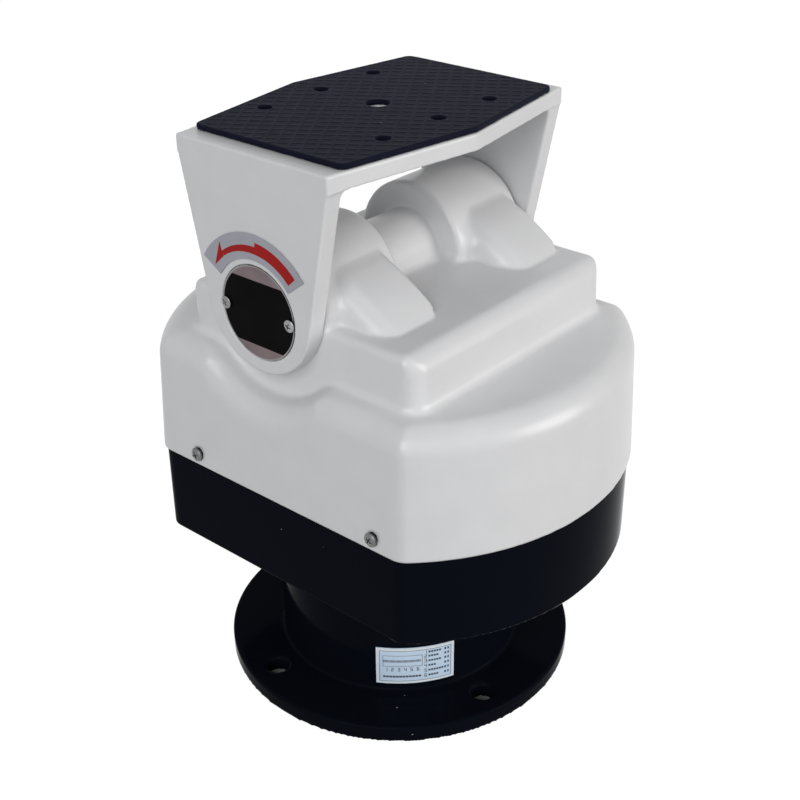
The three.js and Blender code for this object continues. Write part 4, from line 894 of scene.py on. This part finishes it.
def screw_head(a, b, h, radius, height, shank, length):
    """A screw along h from its seat at zero, with its driver recess along a and b."""
    away = np.hypot(a, b)
    crown = CROWN_SHARE * height
    ball = (radius ** 2 + crown ** 2) / (2 * crown)
    dome = np.hypot(away, h - height + ball) - ball
    head = round_max(np.maximum(away - radius, -h), dome, HEAD_EDGE)
    wide, narrow = CROSS_LENGTH * radius, CROSS_WIDTH * radius
    one_slot = np.maximum(np.abs(a) - narrow, np.abs(b) - wide)
    other_slot = np.maximum(np.abs(b) - narrow, np.abs(a) - wide)
    cross = np.minimum(one_slot, other_slot)
    recess = np.maximum(cross + CROSS_FLARE * (height - h), CROSS_FLOOR * height - h)
    stem = np.maximum(away - shank, np.maximum(h - STEM_OVERLAP * height, -h - length))
    return np.minimum(np.maximum(head, -recess), stem)


def side_screw(name, body, material, height, shank, turn):
    """A screw through a flattened side, in place of the CAD node of that name."""
    low, high = corners(name)
    side = 1 if low[0] > 0 else -1
    tip = high[0] if side > 0 else low[0]
    seat = tip - side * height
    length = high[0] - low[0] - height
    radius = (high[1] - low[1]) / 2
    middle_y, middle_z = (low[1] + high[1]) / 2, (low[2] + high[2]) / 2
    lines = graded((-radius - SCREW_MARGIN, radius + SCREW_MARGIN, SCREW_STEP))

    def field(x, y, z):
        a = (y - middle_y) * math.cos(turn) + (z - middle_z) * math.sin(turn)
        b = (z - middle_z) * math.cos(turn) - (y - middle_y) * math.sin(turn)
        return screw_head(a, b, side * (x - seat), radius, height, shank, length)

    stem_run = (-length - STEM_MARGIN, STEM_START, STEM_STEP)
    head_run = (STEM_START, height + SCREW_MARGIN, SCREW_STEP)
    outward = graded(stem_run, head_run) * side + seat
    cast(name, body, "bright_screw", material, field, np.sort(outward), lines + middle_y, lines + middle_z)


COVER_SCREW_HEIGHT, COVER_SCREW_SHANK = 1.7, 1.8
COVER_SCREW_TURNS = [0.5, 1.1, 0.2, 0.8]
for number, turn in enumerate(COVER_SCREW_TURNS, 1):
    side_screw(f"cover_screw_{number}", "pan_head", dull_steel, COVER_SCREW_HEIGHT, COVER_SCREW_SHANK, turn)
DISC_SCREW_HEIGHT, DISC_SCREW_SHANK = 1.2, 1.1
DISC_SCREW_TURNS = {"left_front": 0.35, "left_back": 1.0, "right_front": 0.7, "right_back": 0.1}
for place, turn in DISC_SCREW_TURNS.items():
    side_screw(f"disc_screw_{place}", "tilt_frame", nickel, DISC_SCREW_HEIGHT, DISC_SCREW_SHANK, turn)


# Print and films, as thin prisms over flat or curved ground
FILM_START = 0.005
MARGIN_LIFT = 0.02
FILM_LIFT = 0.03
RIM_LIFT = 0.06


def film(name, body, slot, material, polygons, place, lift):
    """Convex outlines raised from their ground to a lift, placed by a function of u, v and lift."""
    outlines = [[(round(u, 9), round(v, 9)) for u, v in outline] for outline in polygons]
    sides = [edge for outline in outlines for edge in zip(outline, outline[1:] + outline[:1])]
    shared = {(start, end) for start, end in sides} & {(end, start) for start, end in sides}
    number, faces = {}, []
    for outline in outlines:
        for spot in outline:
            number.setdefault(spot, 2 * len(number))
        first = number[outline[0]]
        for one, two in zip(outline[1:-1], outline[2:]):
            faces.append((first, number[two], number[one]))
            faces.append((first + 1, number[one] + 1, number[two] + 1))
    for start, end in sides:
        if (start, end) not in shared:
            faces.append((number[start], number[end], number[end] + 1))
            faces.append((number[start], number[end] + 1, number[start] + 1))
    points = [(u, v, height) for u, v in number for height in (FILM_START, lift)]
    placed = place(*np.array(points).T)
    piece = make_object(name, placed, np.array(faces), smooth=False)
    shape = bmesh.new()
    shape.from_mesh(piece.data)
    bmesh.ops.recalc_face_normals(shape, faces=shape.faces)
    shape.to_mesh(piece.data)
    shape.free()
    return dress(piece, body, slot, material)


def bar(u0, v0, u1, v1):
    return [(u0, v0), (u1, v0), (u1, v1), (u0, v1)]


def band(outer, inner):
    """Four-sided pieces between two lines of points."""
    return [[outer[k], outer[k + 1], inner[k + 1], inner[k]] for k in range(len(outer) - 1)]


def bow(radius, start, end, steps):
    """Points on a circle, with the ends in degrees."""
    angles = np.radians(np.linspace(start, end, steps + 1))
    return [(radius * math.cos(angle), radius * math.sin(angle)) for angle in angles]


def on_side(hand, ground):
    """Places u along -Y and v along Z from the tilt axis on an arm's outer face."""
    return lambda u, v, lift: np.stack([hand * (ground + lift), TILT_Y - u, TILT_Z + v], axis=-1)


# Discs: a black field between two straight edges, and a bright rim
FIELD_RADIUS = 17.7
FIELD_TOP = 12.5
FIELD_BOTTOM = -13.3
FIELD_ROWS = 33
RIM_INNER = 17.8
RIM_INSET = 0.05
RIM_PARTS = 72
field_rows = np.linspace(FIELD_BOTTOM, FIELD_TOP, FIELD_ROWS)
field_half = np.sqrt(FIELD_RADIUS ** 2 - field_rows ** 2)
black_field = band(list(zip(-field_half, field_rows)), list(zip(field_half, field_rows)))
bright_rim = band(bow(DISC_RADIUS - RIM_INSET, 0, 360, RIM_PARTS), bow(RIM_INNER, 0, 360, RIM_PARTS))
for side, hand in (("left", -1), ("right", 1)):
    ground = abs(corners(f"side_disc_{side}")[0 if hand < 0 else 1][0])
    place = on_side(hand, ground)
    film(f"disc_field_{side}", "tilt_frame", "disc_metal", disc_field, black_field, place, FILM_LIFT)
    film(f"disc_rim_{side}", "tilt_frame", "disc_metal", disc_rim, bright_rim, place, RIM_LIFT)

# Arrow on the sticker, from its tip at the back down to its tail at the front
HEAD_TIP, HEAD_BARB, HEAD_NOTCH, HEAD_INNER = (24.6, 145.5), (29.4, 125.6), (26.0, 128.2), (24.1, 128.9)
SHAFT_START, TAIL_START, TAIL_END = 128.4, 87.5, 43.0
SHAFT_OUTER, SHAFT_OUTER_AT_TAIL, TAIL_INNER, TAIL_OUTER = 26.0, 26.3, 23.4, 28.0
ARROW_PARTS = 16


def at_angle(spot):
    radius, angle = spot
    return (radius * math.cos(math.radians(angle)), radius * math.sin(math.radians(angle)))


def shaft_edge(start_radius, end_radius):
    radii = np.linspace(start_radius, end_radius, ARROW_PARTS + 1)
    angles = np.linspace(SHAFT_START, TAIL_START, ARROW_PARTS + 1)
    return [at_angle(spot) for spot in zip(radii, angles)]


tail_outer = bow(TAIL_OUTER, TAIL_START, TAIL_END, ARROW_PARTS)
tail_inner = bow(TAIL_INNER, TAIL_START, TAIL_END, ARROW_PARTS)
arrow = [
    [at_angle(HEAD_TIP), at_angle(HEAD_INNER), at_angle(HEAD_NOTCH)],
    [at_angle(HEAD_TIP), at_angle(HEAD_NOTCH), at_angle(HEAD_BARB)],
    *band(shaft_edge(SHAFT_OUTER, SHAFT_OUTER_AT_TAIL), shaft_edge(HEAD_INNER[0], TAIL_INNER)),
    *band(tail_outer, tail_inner),
]
place = on_side(-1, -sticker_low[0])
film("arrow_print", "tilt_frame", "sticker_film", sticker_red, arrow, place, FILM_LIFT)

# Wiring label: a margin, a frame, terminals with their numbers, and a list of rows
LABEL_START = math.radians(-150.3)
LABEL_TURN = math.radians(36.4)
LABEL_BOTTOM = 10.9
LABEL_HEIGHT = 18.6
LABEL_RADIUS = 52.4
LABEL_WIDTH = LABEL_RADIUS * LABEL_TURN
BARS_TO_LABEL = 24


def on_label(u, v, lift):
    angle = LABEL_START + LABEL_TURN * u
    radius = LABEL_RADIUS + lift
    height = LABEL_BOTTOM + LABEL_HEIGHT * v
    return np.stack([radius * np.cos(angle), radius * np.sin(angle), height], axis=-1)


def wide_bar(u0, v0, u1, v1):
    """A bar cut into short lengths, so that it follows the curved ground."""
    cuts = np.linspace(u0, u1, math.ceil((u1 - u0) * BARS_TO_LABEL) + 1)
    return [bar(a, v0, b, v1) for a, b in zip(cuts[:-1], cuts[1:])]


def frame_lines(u0, v0, u1, v1, thick):
    tall = thick * LABEL_WIDTH / LABEL_HEIGHT
    return [
        *wide_bar(u0, v0, u1, v0 + tall), *wide_bar(u0, v1 - tall, u1, v1),
        bar(u0, v0, u0 + thick, v1), bar(u1 - thick, v0, u1, v1),
    ]


# Strokes of the digits on a grid two wide and four high: bars that run across or up
DIGIT_CELLS = (2, 4)
PEN_SHARE = 0.32
STROKES = {
    "top": (0, 4, 2, 4), "middle": (0, 2, 2, 2), "bottom": (0, 0, 2, 0),
    "left_top": (0, 2, 0, 4), "left_low": (0, 0, 0, 2), "right_top": (2, 2, 2, 4), "right_low": (2, 0, 2, 2),
}
DIGITS = {
    1: ("right_top", "right_low"),
    2: ("top", "right_top", "middle", "left_low", "bottom"),
    3: ("top", "right_top", "middle", "right_low", "bottom"),
    4: ("left_top", "middle", "right_top", "right_low"),
    5: ("top", "left_top", "middle", "right_low", "bottom"),
    6: ("top", "left_top", "middle", "left_low", "right_low", "bottom"),
}


def digit(number, u, v, height):
    """A digit made of bars, with its middle at u, v."""
    wide, tall = DIGIT_CELLS
    cell = height / tall
    across = cell * LABEL_HEIGHT / LABEL_WIDTH
    pen, pen_up = PEN_SHARE * across, PEN_SHARE * cell
    strokes = []
    for name in DIGITS[number]:
        x0, y0, x1, y1 = STROKES[name]
        left, right = u + (x0 - wide / 2) * across - pen, u + (x1 - wide / 2) * across + pen
        low, high = v + (y0 - tall / 2) * cell - pen_up, v + (y1 - tall / 2) * cell + pen_up
        strokes.append(bar(left, low, right, high))
    return strokes


# The hole in a terminal's ring as a share of its radius, and the sides that it is drawn with
RING_HOLE = 0.5
RING_PARTS = 12


def small_ring(u, v, radius):
    squash = LABEL_HEIGHT / LABEL_WIDTH
    rings = []
    for size in (radius, RING_HOLE * radius):
        rings.append([(u + a * squash, v + b) for a, b in bow(size, 0, 360, RING_PARTS)])
    return band(*rings)


# Places and sizes on the label, as shares of its width and height
FRAME_LEFT, FRAME_LOW, FRAME_RIGHT, FRAME_TOP = 0.042, 0.065, 0.962, 0.925
MARGIN_LEFT, MARGIN_LOW, MARGIN_RIGHT, MARGIN_TOP = 0.003, 0.006, 0.997, 0.994
FRAME_PEN = 0.006
TERMINAL_FRAME = (0.086, 0.486, 0.585, 0.79)
TERMINAL_PEN = 0.005
TERMINALS = [0.127, 0.206, 0.287, 0.368, 0.447, 0.527]
TERMINAL_ROW = 0.635
NUMBER_ROW = 0.4
DIGIT_HEIGHT = 0.085
RING_APART, RING_SIZE = 0.018, 0.034
DASHES = 12
DASH_LEFT, DASH_PITCH, DASH_LENGTH = 0.088, 0.0405, 0.033
DASH_LOW, DASH_TOP = 0.175, 0.225
ROWS = [0.85, 0.73, 0.6, 0.466, 0.33, 0.19]
ROW_ENDS = [0.82, 0.79, 0.83, 0.735, 0.835, 0.79]
ROW_NUMBER, ROW_START = 0.625, 0.66
WORD_PITCH, WORD_SIZE, WORD_HALF = 0.034, 0.026, 0.026
ROW_SIGNS = [(0.868, 0.892), (0.91, 0.93)]
SIGN_HALF = 0.03
print_ink = [
    *frame_lines(FRAME_LEFT, FRAME_LOW, FRAME_RIGHT, FRAME_TOP, FRAME_PEN),
    *frame_lines(*TERMINAL_FRAME, TERMINAL_PEN),
]
for number, u in enumerate(TERMINALS, 1):
    print_ink += small_ring(u - RING_APART, TERMINAL_ROW, RING_SIZE)
    print_ink += small_ring(u + RING_APART, TERMINAL_ROW, RING_SIZE)
    print_ink += digit(number, u, NUMBER_ROW, DIGIT_HEIGHT)
for dash in range(DASHES):
    left = DASH_LEFT + DASH_PITCH * dash
    print_ink.append(bar(left, DASH_LOW, left + DASH_LENGTH, DASH_TOP))
for number, (v, end) in enumerate(zip(ROWS, ROW_ENDS), 1):
    print_ink += digit(number, ROW_NUMBER, v, DIGIT_HEIGHT)
    for left in np.arange(ROW_START, end, WORD_PITCH):
        print_ink.append(bar(left, v - WORD_HALF, left + WORD_SIZE, v + WORD_HALF))
    print_ink += [bar(left, v - SIGN_HALF, right, v + SIGN_HALF) for left, right in ROW_SIGNS]
film("label_print", "base", "label_film", label_ink, print_ink, on_label, FILM_LIFT)
margin = [
    *wide_bar(MARGIN_LEFT, MARGIN_LOW, MARGIN_RIGHT, FRAME_LOW),
    *wide_bar(MARGIN_LEFT, FRAME_TOP, MARGIN_RIGHT, MARGIN_TOP),
    bar(MARGIN_LEFT, FRAME_LOW, FRAME_LEFT, FRAME_TOP),
    bar(FRAME_RIGHT, FRAME_LOW, MARGIN_RIGHT, FRAME_TOP),
]
film("label_margin", "base", "label_film", label_edge, margin, on_label, MARGIN_LIFT)


# Camera, which sees from one centimetre to twenty metres
CLIP_NEAR, CLIP_FAR = 0.01, 20
azimuth, elevation, roll = (math.radians(turn) for turn in (CAMERA_AZIMUTH, CAMERA_ELEVATION, CAMERA_ROLL))
back = Vector((
    -math.sin(azimuth) * math.cos(elevation), -math.cos(azimuth) * math.cos(elevation), math.sin(elevation),
))
right = Vector((math.cos(azimuth), -math.sin(azimuth), 0))
up = back.cross(right)
rolled_right = right * math.cos(roll) + up * math.sin(roll)
rolled_up = up * math.cos(roll) - right * math.sin(roll)
camera = bpy.data.objects.new("camera", bpy.data.cameras.new("camera"))
bpy.context.scene.collection.objects.link(camera)
camera.data.lens = CAMERA_LENS
camera.data.sensor_width = CAMERA_SENSOR
camera.data.clip_start, camera.data.clip_end = CLIP_NEAR, CLIP_FAR
turn = Matrix((rolled_right, rolled_up, back)).transposed()
place = (Vector(CAMERA_TARGET) + back * CAMERA_DISTANCE) * MM
camera.matrix_world = Matrix.Translation(place) @ turn.to_4x4()
bpy.context.scene.camera = camera


# Light
LAMP_AIM = (0, 0, 0.12)


def soft_lamp(name, place, power, size, tint):
    """A square lamp that points at the middle of the head."""
    lamp = bpy.data.lights.new(name, "AREA")
    lamp.color = tint
    lamp.energy = power
    lamp.size = size
    lamp_object = bpy.data.objects.new(name, lamp)
    aim = Vector(LAMP_AIM) - Vector(place)
    lamp_object.rotation_euler = aim.to_track_quat("-Z", "Y").to_euler()
    lamp_object.location = place
    bpy.context.scene.collection.objects.link(lamp_object)


soft_lamp("front_lamp", place=(0.6, -1.6, 0.45), power=14.8, size=0.9, tint=(1.0, 0.975, 0.962))
soft_lamp("left_lamp", place=(-1.3, -0.5, 0.85), power=12, size=1.0, tint=(0.985, 1.0, 1.02))
soft_lamp("top_lamp", place=(0.1, 0.2, 1.7), power=1.5, size=1.2, tint=(1.0, 1.0, 0.98))


def any_ray(tree, first, *others):
    """One where the ray is of a named kind, else zero."""
    path = tree.nodes.new("ShaderNodeLightPath")
    value = path.outputs[first]
    for kind in others:
        either = tree.nodes.new("ShaderNodeMath")
        either.operation = "MAXIMUM"
        tree.links.new(value, either.inputs[0])
        tree.links.new(path.outputs[kind], either.inputs[1])
        value = either.outputs["Value"]
    return value


def choose(tree, value, otherwise, then):
    """The shader that the surface gets: then where the value is one, otherwise where it is zero."""
    mix = tree.nodes.new("ShaderNodeMixShader")
    tree.links.new(value, mix.inputs[0])
    tree.links.new(otherwise.outputs[0], mix.inputs[1])
    tree.links.new(then.outputs[0], mix.inputs[2])
    return mix.outputs[0]


def background(tree, colour, strength):
    node = tree.nodes.new("ShaderNodeBackground")
    node.inputs["Color"].default_value = (*colour, 1)
    node.inputs["Strength"].default_value = strength
    return node


# World: white to the camera, in reflections and through holes, and a dim sky as a light
SKY_TINT, SKY_STRENGTH = (0.95, 0.98, 1.0), 0.22
PAPER_TINT, PAPER_STRENGTH = (1, 1, 1), 1.0
world = bpy.data.worlds.new("world")
bpy.context.scene.world = world
world.use_nodes = True
tree = world.node_tree
tree.nodes.clear()
ambient = background(tree, SKY_TINT, SKY_STRENGTH)
paper = background(tree, PAPER_TINT, PAPER_STRENGTH)
seen = any_ray(tree, "Is Camera Ray", "Is Glossy Ray", "Is Transmission Ray")
output = tree.nodes.new("ShaderNodeOutputWorld")
tree.links.new(choose(tree, seen, ambient, paper), output.inputs["Surface"])

# Floor: pale, white to the camera where it is lit, darker in the object's shadow, with its glow left out
# under the flange as painted shade there
FLOOR_HALF = 3.0
FLOOR_DROP = 0.4
FLOOR_GREY = 0.34
FLOOR_ROUGHNESS = 0.9
FLOOR_GLOW = 0.9
PAINTED_SHADE_INSET = 2
PAINTED_SHADE_FADE = 1
floor_points = np.array([[-1, -1, 0], [1, -1, 0], [1, 1, 0], [-1, 1, 0]]) * FLOOR_HALF / MM
floor_points[:, 2] = -FLOOR_DROP
floor = make_object("floor", floor_points, np.array([[0, 1, 2, 3]]), smooth=False)
floor_material, tree, shader = new_material("pale_floor")
shader.inputs["Base Color"].default_value = (FLOOR_GREY, FLOOR_GREY, FLOOR_GREY, 1)
shader.inputs["Roughness"].default_value = FLOOR_ROUGHNESS
shader.inputs["Specular IOR Level"].default_value = 0.0
glow = tree.nodes.new("ShaderNodeEmission")
where = tree.nodes.new("ShaderNodeNewGeometry")
from_axis = tree.nodes.new("ShaderNodeVectorMath")
from_axis.operation = "LENGTH"
# The glow fades to nothing just inside the flange's edge, so the floor seen through the flange's holes shows
# painted shade
clear = tree.nodes.new("ShaderNodeMapRange")
clear.inputs["From Min"].default_value = (FLANGE_RADIUS - PAINTED_SHADE_INSET) * MM
clear.inputs["From Max"].default_value = (FLANGE_RADIUS - PAINTED_SHADE_INSET + PAINTED_SHADE_FADE) * MM
clear.inputs["To Max"].default_value = FLOOR_GLOW
tree.links.new(where.outputs["Position"], from_axis.inputs[0])
tree.links.new(from_axis.outputs["Value"], clear.inputs["Value"])
tree.links.new(clear.outputs["Result"], glow.inputs["Strength"])
both = tree.nodes.new("ShaderNodeAddShader")
tree.links.new(shader.outputs[0], both.inputs[0])
tree.links.new(glow.outputs[0], both.inputs[1])
seen = any_ray(tree, "Is Camera Ray", "Is Glossy Ray")
tree.links.new(choose(tree, seen, shader, both), tree.nodes["Material Output"].inputs["Surface"])
floor.data.materials.append(floor_material)

bpy.context.scene.view_settings.view_transform = "Standard"
